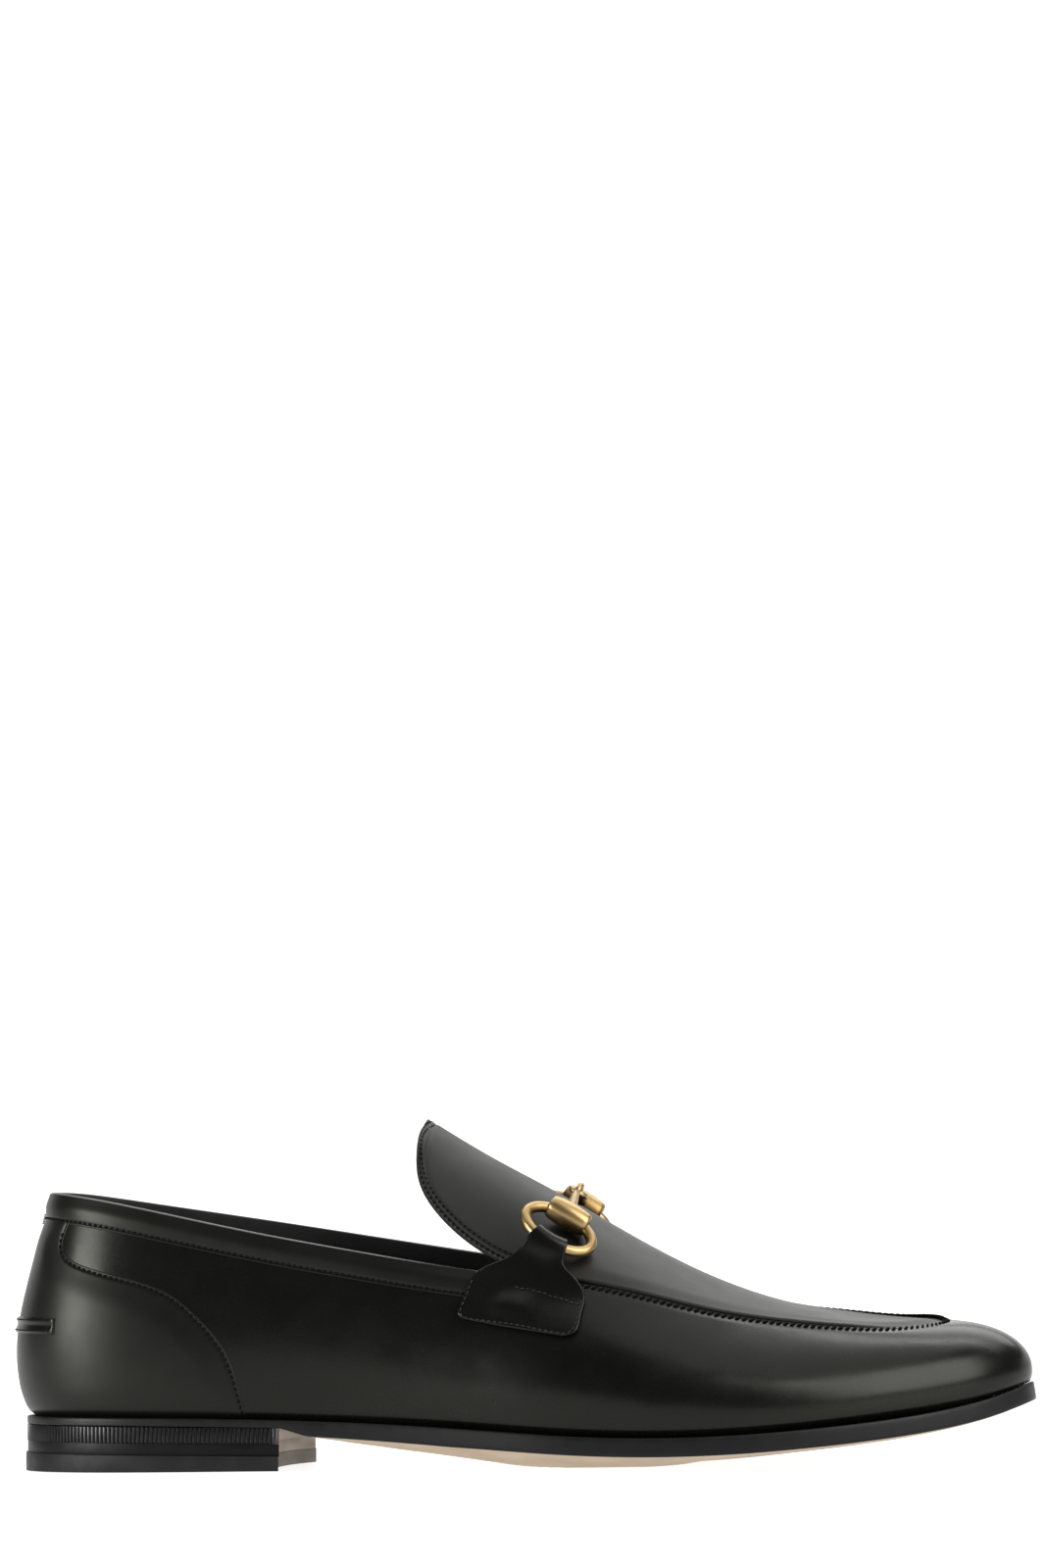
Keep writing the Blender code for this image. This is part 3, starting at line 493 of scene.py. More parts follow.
def round_shoe(*names):
    """Named section columns as one closed curve over the section number."""
    values = np.stack([column(SECTIONS, SECTION_COLUMNS, name) for name in names], axis=1)
    return smooth_line(np.arange(TURNS + 1), values, closed=True)


FOOT = round_shoe("foot_x", "foot_y", "foot_z")
TOP = round_shoe("top_x", "top_y", "top_z")
LEANS = round_shoe("flare", "lean")

CREST_LINE = smooth_line(
    column(CREST, CREST_COLUMNS, "x"),
    np.stack([column(CREST, CREST_COLUMNS, "y"), column(CREST, CREST_COLUMNS, "z")], axis=1),
)

COUNTER_LINE = smooth_line(
    column(COUNTER, COUNTER_COLUMNS, "z"),
    column(COUNTER, COUNTER_COLUMNS, "x")[:, None],
)


def unit(vectors):
    return vectors / np.linalg.norm(vectors, axis=-1, keepdims=True)


def halve(low, high, before):
    """Place between two ends where a test stops being true."""
    for _ in range(HALVINGS):
        middle = 0.5 * (low + high)
        if before(middle):
            low = middle
        else:
            high = middle
    return 0.5 * (low + high)


def run_along(points):
    """Length along a line of points up to each of them."""
    return np.append(0, np.cumsum(np.linalg.norm(np.diff(points, axis=0), axis=1)))


def outward(u):
    """Level direction out of the shoe, square to the feather line."""
    along = FOOT(np.asarray(u) + 0.01) - FOOT(np.asarray(u) - 0.01)
    return unit(np.stack([along[:, 1], -along[:, 0], np.zeros(len(along))], axis=1))


def wall_point(u, v):
    """Point of the upper's outer face: u numbers the sections, v runs from the sole to the top."""
    u, v = np.broadcast_arrays(np.asarray(u, float), np.asarray(v, float))
    shape = u.shape
    u, v = u.ravel(), v.ravel()[:, None]
    foot, top, out = FOOT(u), TOP(u), outward(u)
    flare, lean = np.radians(LEANS(u) / MM).T
    span = np.linalg.norm(top - foot, axis=1)[:, None]
    rise = np.array([0.0, 0.0, 1.0])
    low = foot + FULL_LOW * span * (out * np.sin(flare)[:, None] + rise * np.cos(flare)[:, None])
    high = top + FULL_TOP * span * (out * np.sin(lean)[:, None] - rise * np.cos(lean)[:, None])
    w = 1 - v
    point = w ** 3 * foot + 3 * w * w * v * low + 3 * w * v * v * high + v ** 3 * top
    return point.reshape(shape + (3,))


def wall_normal(u, v):
    """Direction out of the wall."""
    u, v = np.broadcast_arrays(np.asarray(u, float), np.asarray(v, float))
    v = np.clip(v, SLOPE_STEP, 1 - SLOPE_STEP)
    along = wall_point(u + SLOPE_STEP, v) - wall_point(u - SLOPE_STEP, v)
    upward = wall_point(u, v + SLOPE_STEP) - wall_point(u, v - SLOPE_STEP)
    return unit(np.cross(along, upward))


def wall_level(u, depth):
    """Value of v at a distance down the wall from its top."""
    v = np.linspace(0, 1, 61)
    levels = []
    for one_u, one_depth in zip(np.ravel(u), np.ravel(depth)):
        down = run_along(wall_point(one_u, v)[::-1])[::-1]
        levels.append(np.interp(-one_depth, -down, v))
    return np.array(levels).reshape(np.shape(u))


def section_at(x, side, curve):
    """Section number where a curve round the shoe crosses a length, on one side."""
    low, high = (0.0, float(TOE)) if side < 0 else (float(TOE), float(TURNS))
    return halve(low, high, lambda u: (curve(np.array([u]))[0, 0] < x) == (side < 0))


def arch(left, ridge, right, t):
    """Arched line from one edge over the ridge to the other edge."""
    t = np.asarray(t, float)[:, None]
    first = t < 0.5
    edge = np.where(first, left, right)
    run = np.where(first, 2 * t, 2 - 2 * t)
    point = edge + (ridge - edge) * run
    point[:, 2:] = edge[:, 2:] + (ridge[2] - edge[:, 2:]) * (1 - (1 - run) ** 2)
    return point


def ridge_at(x, drop):
    y, z = CREST_LINE(np.array([x]))[0]
    return np.array([x, y, z - drop])


def vamp_rib(u, across):
    """One line over the vamp under the apron, from seam to seam."""
    left, right = TOP(np.array([u, TURNS - u]))
    middle = 0.5 * (left[0] + right[0])
    if u >= TOE:
        return np.repeat(left[None], len(across), axis=0)
    return arch(left, ridge_at(middle, APRON + APRON_GAP), right, across)


def tongue_edges():
    """Both edges of the free tongue as curves over the ridge's length."""
    drop = APRON + APRON_GAP
    crest_x, edge_x = [column(TONGUE, TONGUE_COLUMNS, key) for key in ("crest_x", "edge_x")]
    ends = []
    for side, key in ((-1, "lateral"), (1, "medial")):
        half = column(TONGUE, TONGUE_COLUMNS, key + "_half")
        edge_z = column(TONGUE, TONGUE_COLUMNS, key + "_z")
        y = CREST_LINE(crest_x)[:, 0] + side * half
        free = np.stack([edge_x, y, edge_z - drop], axis=1)
        seam = [THROAT, THROAT + 0.5, THROAT + 1.0]
        if side > 0:
            seam = [TURNS - value for value in seam]
        held = TOP(np.array(seam))
        pair = TOP(np.array([TURNS - value for value in seam]))
        knots = np.concatenate([crest_x, 0.5 * (held[:, 0] + pair[:, 0])])
        ends.append(smooth_line(knots, np.vstack([free, held])))
    return ends


TONGUE_EDGES = tongue_edges()


def tongue_rib(x, across):
    """One line over the free tongue, at a length of its ridge."""
    left, right = [edge(np.array([x]))[0] for edge in TONGUE_EDGES]
    return arch(left, ridge_at(x, APRON + APRON_GAP), right, across)


def sole_outline(u, spread):
    """Feather line moved in, or moved out by a welt that narrows round the toe and the heel."""
    u = np.asarray(u, float)
    from_heel = np.abs(np.mod(u + TOE, TURNS) - TOE)
    trim = TOE_TRIM * np.exp(-np.square(from_heel - TOE)) + HEEL_TRIM * np.exp(-np.square(from_heel))
    reach = spread * (1 - trim) if spread > 0 else np.full(u.shape, spread)
    return FOOT(u) + outward(u) * reach[..., None]


def edge_depth(x):
    """Thickness of the sole's edge, thinner over the heel."""
    near = np.clip((x - HEEL_BREAST) / SHANK_NEAR, 0, 1)
    far = np.clip((x - HEEL_BREAST) / SHANK_FAR, 0, 1)
    return SEAT_EDGE + (SHANK_EDGE - SEAT_EDGE) * near + (SOLE_EDGE - SHANK_EDGE) * far


def floor_at(x):
    """Height of the floor under the shoe before it is tipped."""
    return (x - STANCE_PIVOT) * math.tan(STANCE)


def belly(x):
    """How far the underside swells below the sole's edge in the middle."""
    return np.interp(x, column(BELLY, BELLY_COLUMNS, "x"), column(BELLY, BELLY_COLUMNS, "swell"))


def seat_low():
    """Underside of the sole over the heel."""
    ends = FOOT(np.array([0.0, section_at(HEEL_BREAST, -1, FOOT)]))
    return min(ends[:, 2]) - 2 * GAP - SEAT_EDGE


def band_edge(u):
    """Level of the collar band's lower edge."""
    return wall_level(u, np.full(np.shape(u), BAND_DEPTH))


def counter_level(share, u):
    """Level of the wall at a share of the counter's height, which ends under the collar band."""
    return share * (np.interp(u, BAND_TURNS, BAND_LEVELS) + COUNTER_UNDER_BAND)


def counter_reach(share, side):
    """Section number of the counter's front edge at a share of its height."""

    def behind(u):
        point = wall_point(-side * u, counter_level(share, -side * u))
        return point[0] < COUNTER_LINE(np.array([point[2]]))[0, 0]

    return halve(*COUNTER_SEARCH, behind)


BAND_TURNS = np.linspace(-6, 6, 97)
BAND_LEVELS = band_edge(BAND_TURNS)


def level_at_height(u, z):
    v = np.linspace(0, 1, 81)
    return np.array([np.interp(z, wall_point(one, v)[:, 2], v) for one in u])


def bit_frame(row):
    """Barrel centre and directions along the barrel, outward in the ring's plane and off the vamp."""
    side = row[0]
    barrel = np.array(row[1:4]) * MM
    wire = np.array(row[4:7]) * MM
    behind, ahead = CREST_LINE(barrel[0] + np.array([-CREST_STEP, CREST_STEP]))[:, 1]
    along = unit(np.array([2 * CREST_STEP, 0.0, ahead - behind]))
    out = wire - barrel
    out = unit(out - along * out.dot(along))
    lift = unit(np.cross(along, out))
    lift = lift if lift[2] > 0 else -lift
    return side, barrel, along, out, lift


def ring_point(seat, angle):
    """Middle of the ring's wire: angle 0 is where the loop holds it."""
    side, barrel, along, out, lift = seat
    half = 0.5 * RING_REACH
    angle = np.asarray(angle, float)[:, None]
    return barrel + out * half + out * half * np.cos(angle) + along * RING_LONG * np.sin(angle)


def loop_columns(seat, share):
    """Path of the leather loop at one fraction across its width."""
    side, barrel, along, out, lift = seat
    points = []
    for name, rear, rear_depth, front, front_depth in LOOP_BASE:
        x = (rear + (front - rear) * share) * MM
        depth = rear_depth + (front_depth - rear_depth) * share
        u = section_at(x, side, TOP)
        v = float(wall_level(np.array([u]), np.array([depth * MM]))[0])
        lifted = GAP + 0.5 * LOOP + LOOP_RISE * (1 - min(depth / LOOP_RISE_DEPTH, 1)) ** 1.5
        normal = wall_normal(u, v)
        if name == "lip":
            normal = unit(normal + np.array([0, 0, LIP_TILT]))
            lifted = LIP_LIFT
        points.append(wall_point(u, v) + normal * lifted)
    angle = math.asin((share - 0.5) * LOOP_NECK)
    wire = ring_point(seat, np.array([angle]))[0]
    inward = -unit(out * RING_LONG * math.cos(angle) + along * 0.5 * RING_REACH * math.sin(angle))
    bend = RING_WIRE + GAP + 0.5 * LOOP
    lip = points[-1]
    crown = wire + (lift * math.cos(LOOP_LEAVE) - inward * math.sin(LOOP_LEAVE)) * bend
    waist = lip + (crown - lip) * 0.5
    waist[0] = LOOP_WAIST_REAR + (LOOP_WAIST_FRONT - LOOP_WAIST_REAR) * share
    points.append(waist)
    for turn in np.append([-LOOP_LEAVE, -0.5 * LOOP_LEAVE], np.radians(LOOP_FOLD)):
        points.append(wire + (lift * math.cos(turn) + inward * math.sin(turn)) * bend)
    points.append(wire - lift * bend - inward * LOOP_TAIL)
    return np.array(points)


def eye_centre(side, x):
    """Middle of one eye, over the ridge where the two halves link."""
    y = EYE_Y + (EYE_RING if side > 0 else 0.0)
    ridge = CREST_LINE(np.array([x]))[0, 1]
    return np.array([x, y, ridge + EYE_LIFT])


class Shape:
    """Points, faces and material marks gathered before they become a mesh."""

    def __init__(self):
        self.points = []
        self.faces = []
        self.marks = []
        self.count = 0

    def add_points(self, points):
        points = np.asarray(points, float)
        flat = points.reshape(-1, 3)
        self.points.append(flat)
        index = np.arange(self.count, self.count + len(flat)).reshape(points.shape[:-1])
        self.count += len(flat)
        return index

    def add_faces(self, faces, mark=0):
        self.faces.extend(faces)
        self.marks.extend([mark] * len(faces))

    def add_ends(self, index):
        """Closing faces on the first and last row of a tube."""
        self.add_faces([index[0].tolist(), index[-1][::-1].tolist()])

    def add_index(self, index, mark=0, loop_rows=False, loop_cols=False):
        """Quads over a grid of point numbers."""
        if loop_rows:
            index = np.vstack([index, index[:1]])
        if loop_cols:
            index = np.hstack([index, index[:, :1]])
        corners = (index[:-1, :-1], index[1:, :-1], index[1:, 1:], index[:-1, 1:])
        self.add_faces(np.stack(corners, axis=-1).reshape(-1, 4).tolist(), mark)

    def add_grid(self, grid, mark=0, loop_rows=False, loop_cols=False):
        index = self.add_points(grid)
        self.add_index(index, mark, loop_rows, loop_cols)
        return index


def loose_form(shape):
    """Shape as a bmesh."""
    mesh = bpy.data.meshes.new("scratch")
    mesh.from_pydata(np.vstack(shape.points).tolist(), [], shape.faces)
    mesh.polygons.foreach_set("material_index", np.array(shape.marks, np.int32))
    form = bmesh.new()
    form.from_mesh(mesh)
    bpy.data.meshes.remove(mesh)
    return form


def welded_form(shape, dist=2e-6):
    """Shape as a bmesh with doubled points joined."""
    form = loose_form(shape)
    bmesh.ops.remove_doubles(form, verts=form.verts, dist=dist)
    bmesh.ops.dissolve_degenerate(form, edges=form.edges, dist=dist)
    return form


def build(form, name, looks):
    """Form as a smooth mesh object in the scene."""
    bmesh.ops.recalc_face_normals(form, faces=form.faces)
    mesh = bpy.data.meshes.new(name)
    form.to_mesh(mesh)
    form.free()
    mesh.shade_smooth()
    for look in looks:
        mesh.materials.append(LOOKS[look])
    piece = bpy.data.objects.new(name, mesh)
    bpy.context.scene.collection.objects.link(piece)
    return piece


def place(form, name, looks, slot, nodes=(), sharp=50):
    """Closed form as a piece that rides on the shoe and stands for its solids."""
    piece = build(form, name, looks)
    piece.data.transform(STAND)
    piece.data.set_sharp_from_angle(angle=math.radians(sharp))
    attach(piece, "root")
    if nodes:
        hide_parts(*nodes)
    return piece


def place_shape(shape, name, looks, slot, nodes=(), sharp=50):
    return place(welded_form(shape), name, looks, slot, nodes, sharp)


def quarter(t):
    """Quarter circle from 0 to 1."""
    t = np.clip(t, 0, 1)
    return np.sqrt(1 - (1 - t) ** 2)


def ease(t):
    t = np.clip(t, 0, 1)
    return t * t * (3 - 2 * t)


def fade(x, start, run):
    """Ease from 0 to 1 over a run of millimetres."""
    return ease((x - start * MM) / (run * MM))


def hump(t):
    return np.exp(-np.square(t))


def spread_ends(count):
    """Steps from 0 to 1 that crowd together at both ends."""
    return 0.5 - 0.5 * np.cos(np.linspace(0, math.pi, count))


def edge_distance(points, starts, ends):
    """Distance from each point to the nearest of some segments."""
    best = np.zeros(len(points))
    run = ends - starts
    size = np.maximum((run ** 2).sum(1), 1e-16)
    for first in range(0, len(points), 1500):
        part = points[first:first + 1500, None]
        t = np.clip(((part - starts) * run).sum(-1) / size, 0, 1)
        away = starts + t[..., None] * run - part
        best[first:first + 1500] = np.sqrt((away ** 2).sum(-1).min(1))
    return best


def away_from_middle(point):
    return Vector((0.0, point.y, point.z - MIDDLE_HEIGHT))


def sheet(shape, outer, inner, name, looks, slot, nodes, sharp=50):
    """Closed sheet over an open shape: outer and inner give offsets from points and edge distance."""
    form = welded_form(shape)
    bmesh.ops.recalc_face_normals(form, faces=form.faces)
    form.normal_update()
    face = max(form.faces, key=lambda item: item.calc_area())
    if face.normal.dot(away_from_middle(face.calc_center_median())) < 0:
        bmesh.ops.reverse_faces(form, faces=form.faces)
        form.normal_update()
    points = np.array([vert.co for vert in form.verts])
    normals = np.array([vert.normal for vert in form.verts])
    rim = [edge for edge in form.edges if edge.is_boundary]
    starts = np.array([edge.verts[0].co for edge in rim])
    ends = np.array([edge.verts[1].co for edge in rim])
    depth = edge_distance(points, starts, ends)
    for edge in rim:
        depth[[vert.index for vert in edge.verts]] = 0.0
    made = Shape()
    high = made.add_points(points + normals * outer(points, depth)[:, None])
    low = made.add_points(points + normals * inner(points, depth)[:, None])
    form.verts.index_update()
    faces = [[vert.index for vert in item.verts] for item in form.faces]
    made.add_faces([[high[i] for i in item] for item in faces], 0)
    made.add_faces([[low[i] for i in reversed(item)] for item in faces], 1)
    made.add_faces([[high[e.verts[1].index], high[e.verts[0].index], low[e.verts[0].index],
                     low[e.verts[1].index]] for e in rim], 0)
    form.free()
    return place_shape(made, name, looks, slot, nodes, sharp)


def crease_offset(points):
    """Height of the soft creases at points of the upper."""
    points = np.asarray(points, float)
    total = np.zeros(points.shape[:-1])
    for name, side, x0, z0, x1, z1, width, height in CREASES:
        start = np.array([x0, z0]) * MM
        run = np.array([x1 - x0, z1 - z0]) * MM
        flat = points[..., [0, 2]] - start
        t = np.clip((flat @ run) / run.dot(run), 0, 1)
        away = np.linalg.norm(flat - t[..., None] * run, axis=-1)
        total += height * MM * hump(away / (width * MM)) * ease(side * points[..., 1] / CREASE_SIDE)
    return total


def skin_point(u, v):
    """Outer face of the upper with its lasted edge, seam groove and creases."""
    u, v = np.broadcast_arrays(np.asarray(u, float), np.asarray(v, float))
    point = wall_point(u, v)
    foot, top, out = [line(u.ravel()).reshape(u.shape + (3,)) for line in (FOOT, TOP, outward)]
    rise = point[..., 2] - foot[..., 2]
    tuck = np.square(np.clip(1 - rise / TUCK_RISE, 0, 1))
    inset = TUCK * (1 - (1 - TOE_TUCK) * fade(foot[..., 0], *TOE_TUCK_FADE))
    depth = (1 - v) * np.linalg.norm(top - foot, axis=-1) * WALL_BOW
    turn = np.mod(u, TURNS)
    vamp = ease((turn - THROAT - SEAM_FADE) / SEAM_FADE_RUN)
    vamp *= ease((TURNS - THROAT - SEAM_FADE - turn) / SEAM_FADE_RUN)
    far = ease((turn - TOE) / FAR_TURN)
    seam = (1 - far) * -SEAM_GROOVE * hump((depth - SEAM_DEPTH) / SEAM_GROOVE_HALF)
    seam += far * FAR_RIDGE * hump((depth - FAR_RIDGE_DEPTH) / FAR_RIDGE_HALF)
    groove = seam * ease(depth / SEAM_EDGE) * vamp
    crease = crease_offset(point) * ease(depth / CREASE_TOP) * ease(rise / CREASE_FOOT)
    lasted = (out * inset[..., None] + np.array([0.0, 0.0, FOOT_DROP])) * tuck[..., None]
    return point - lasted + wall_normal(u, v) * (groove + crease)[..., None]


def make_upper():
    stations = np.linspace(0, TURNS, TURNS * FINE, endpoint=False)
    u, v = np.meshgrid(stations, UPPER_LEVELS, indexing="ij")
    shape = Shape()
    shape.add_grid(skin_point(u, v), loop_rows=True)
    across = np.linspace(0, 1, 25)
    turns = np.linspace(THROAT, TOE, (TOE - THROAT) * FINE + 1)
    shape.add_grid(np.array([vamp_rib(one, across) for one in turns]))
    return sheet(shape, lambda p, d: np.zeros_like(d), lambda p, d: np.full_like(d, -WALL),
                 "upper_skin", ("calf", "lining"), "calf", ("upper",))


def seam_drop(points, depth):
    """How far the apron's edge is pulled down into the seam."""
    far = FAR_LIP * fade(points[:, 1], *FAR_LIP_FADE)
    toe = TOE_LIP * fade(points[:, 0], *TOE_LIP_FADE)
    low = SEAM_LIP + np.maximum(far, toe)
    throat = TOP(np.array([THROAT]))[0, 0]
    return low * (1 - ease(depth / SEAM_CUSHION)) * ease((points[:, 0] - throat) / THROAT_FADE)


def make_apron():
    start = column(TONGUE, TONGUE_COLUMNS, "crest_x")[0]
    throat = TOP(np.array([THROAT, TURNS - THROAT]))[:, 0].mean()
    across = spread_ends(97)
    lengths = start + (throat - start) * (1 - np.cos(np.linspace(0, math.pi / 2, 50)))
    ribs = [tongue_rib(x, across) for x in lengths[:-1]]
    ribs += [vamp_rib(u, across) for u in np.linspace(THROAT, TOE, 151)]
    shape = Shape()
    shape.add_grid(np.array(ribs))
    middle, half = APRON_GAP + 0.5 * APRON, 0.5 * APRON

    def outer(points, depth):
        free = 1 - ease((points[:, 0] - throat) / TONGUE_FADE + 1)
        rows = sum(hump((depth - row) / STITCH_SINK_WIDE) for row in TONGUE_ROWS)
        rounding = LIP_ROUND_VAMP + (LIP_ROUND - LIP_ROUND_VAMP) * free
        low = seam_drop(points, depth) + TONGUE_SINK * rows * free
        return middle + half * quarter(depth / rounding) - low + crease_offset(points)

    def inner(points, depth):
        return middle - half * quarter(depth / LIP_ROUND) - seam_drop(points, depth)

    return sheet(shape, outer, inner, "apron_tongue_skin", ("calf_soft", "lining"), "calf", ("apron_tongue",))


def step_edge(depth, step, rise, reach):
    """Profile of a skived overlay: a small rounded step, then a slow rise with the stitches pulled in."""
    sink = STITCH_SINK * hump((depth - STITCH_INSET) / STITCH_SINK_WIDE)
    return step * quarter(depth / STEP_ROUND) + rise * ease(depth / reach) - sink


def counter_rows(count):
    """Shares of the counter's height spaced evenly along its front edge."""
    fine = np.linspace(0, 1, 121)
    reach = np.array([counter_reach(q, -1) for q in fine])
    run = run_along(wall_point(reach, counter_level(fine, reach)))
    return np.interp(np.linspace(0, run[-1], count), run, fine)


def counter_offset(depth):
    return LAID + step_edge(depth, COUNTER_STEP, COUNTER_RISE, COUNTER_REACH)


def make_counter():
    shares = counter_rows(76)
    across = spread_ends(101)
    reaches = [(counter_reach(q, 1), counter_reach(q, -1)) for q in shares]
    u = np.array([-medial + (medial + lateral) * across for medial, lateral in reaches])
    v = np.array([counter_level(q, row) for q, row in zip(shares, u)])
    shape = Shape()
    shape.add_grid(skin_point(u, v))
    return sheet(shape, lambda p, d: counter_offset(d), lambda p, d: np.full_like(d, LAID),
                 "counter_skin", ("calf_heel", "lining"), "calf", ("counter",))


def band_offset(climb):
    turned = BAND_TURN * ease((climb - BAND_DEPTH) / BAND_TURN_REACH + 1)
    return LAID + step_edge(climb, BAND_STEP, BAND_RISE, BAND_REACH) - turned


def band_turns(count):
    """Sections along the collar, from the band's medial end round the heel to its lateral end."""
    return np.linspace(section_at(BAND_SHOWN_END, 1, TOP) - TURNS, section_at(BAND_SHOWN_END, -1, TOP), count)


def make_band():
    """Topline band that starts on the outside, rolls over the rim and ends inside."""
    turns = band_turns(280)
    low = band_edge(turns)
    v = low[:, None] + (1 - low)[:, None] * BAND_CLIMBS / BAND_DEPTH
    u = np.broadcast_to(turns[:, None], v.shape)
    front = skin_point(u, v) + wall_normal(u, v) * band_offset(BAND_CLIMBS)[None, :, None]
    top, normal = wall_point(turns, 1.0)[:, None], wall_normal(turns, 1.0)[:, None]
    up = unit(top - wall_point(turns, 0.96)[:, None])
    outer, inner = band_offset(BAND_DEPTH), -WALL - GAP
    middle, half = 0.5 * (outer + inner), 0.5 * (outer - inner)
    angles = np.linspace(0, math.pi, 17)[None, :, None]
    rise = RIM_RISE * np.sin(angles) + RIM_SLANT * (0.5 - 0.5 * np.cos(angles)) - RIM_DROP
    rim = top + normal * (middle + half * np.cos(angles)) + up * rise
    depths, sink = np.array(BAND_INSIDE).T[:, None, :, None] * MM
    inside = top - up * depths + normal * (inner + sink)
    shape = Shape()
    index = shape.add_points(np.concatenate([front, rim, inside], axis=1))
    turned = front.shape[1] + rim.shape[1] - 1
    shape.add_index(index[:, :turned])
    shape.add_index(np.hstack([index[:, turned - 1:], index[:, :1]]), 1)
    shape.add_ends(index)
    return place_shape(shape, "collar_band_skin", ("calf_heel", "lining"), "calf", ("collar_band",))


def make_heel_tab():
    u = HEEL_TAB_REACH * (2 * spread_ends(41) - 1)
    low, high = level_at_height(u, HEEL_TAB_LOW), level_at_height(u, HEEL_TAB_HIGH)
    share = spread_ends(19)[None]
    v = low[:, None] * (1 - share) + high[:, None] * share
    shape = Shape()
    shape.add_grid(skin_point(u[:, None] * np.ones_like(share), v))
    middle = 0.5 * (HEEL_TAB_LOW + HEEL_TAB_HIGH)

    def outer(points, depth):
        fold = hump((points[:, 2] - middle) / TAB_FOLD_HALF) * TAB_FOLD
        return COUNTER_FACE + HEEL_TAB * quarter(depth / TAB_ROUND) - fold * ease(depth / TAB_FOLD_EDGE)

    return sheet(shape, outer, lambda p, d: np.full_like(d, COUNTER_FACE - GAP), "heel_tab_skin",
                 ("calf", "calf"), "calf", ("heel_tab",))


def grid_normals(grid):
    return unit(np.cross(np.gradient(grid, axis=0), np.gradient(grid, axis=1)))


def loop_grid(seat):
    """Middle surface of a leather loop with its normals, run from the hem and shares of the width."""
    shares = spread_ends(45)
    lines = []
    for share in shares:
        points = loop_columns(seat, share)
        run = run_along(points)
        hem = run[-1] * HEM_SHARE
        close = hem * (1 - np.cos(np.linspace(0, math.pi / 2, 22)))[:-1]
        steps = np.concatenate([close, np.linspace(hem, run[-1], 100)])
        lines.append(smooth_line(run, points)(steps))
    grid = np.array(lines)
    normal = grid_normals(grid)
    normal *= np.sign((normal[:, 8, 1].mean()) * seat[0])
    run = np.array([run_along(line) for line in grid])
    swell = fade(run, *SWELL_UP) * (1 - fade(run, *SWELL_DOWN))
    swell *= hump(np.square((shares[:, None] - LOOP_SWELL_AT) / LOOP_SWELL_WIDE))
    return grid + normal * (swell * LOOP_SWELL)[..., None], normal, run, shares


def make_loop(seat, side):
    shape = Shape()
    shape.add_grid(loop_grid(seat)[0])

    def outer(points, depth):
        return 0.5 * LOOP * quarter(depth / LOOP_ROUND)

    return sheet(shape, outer, lambda p, d: -outer(p, d), "bit_loop_skin_" + side, ("calf", "calf"), "calf",
                 ("bit_loop_" + side,))


def full_turn(count):
    return np.linspace(0, 2 * math.pi, count, endpoint=False)


def set_tone(piece, tones):
    """Brightness of the metal, point by point: painted light and shade, lighter on top and outside, darker
    underneath, inside the ring and at the barrel's ends.
    """
    layer = piece.data.attributes.new("tone", "FLOAT", "POINT")
    layer.data.foreach_set("value", np.asarray(tones, np.float32))


def add_tube(shape, points, first, second, radius, closed, power=2.0):
    """Bar along points; returns the cosine and sine of its cross section between two directions."""
    turn = full_turn(TUBE_SIDES)
    cos, sin = np.cos(turn), np.sin(turn)
    size = (np.abs(cos) ** power + np.abs(sin) ** power) ** (-1 / power)
    first, second = [np.broadcast_to(way, points.shape)[:, None] for way in (first, second)]
    ring = first * (cos * size)[None, :, None] + second * (sin * size)[None, :, None]
    radius = np.broadcast_to(radius, len(points))[:, None, None]
    index = shape.add_grid(points[:, None] + ring * radius, loop_rows=closed, loop_cols=True)
    if not closed:
        shape.add_ends(index)
    return cos, sin


def bar_frame(points):
    """Two directions square to an open path."""
    tangent = unit(np.gradient(points, axis=0))
    hint = np.array([1.0, 0.0, 0.0])
    first = unit(hint - tangent * (tangent @ hint)[:, None])
    return first, np.cross(tangent, first)


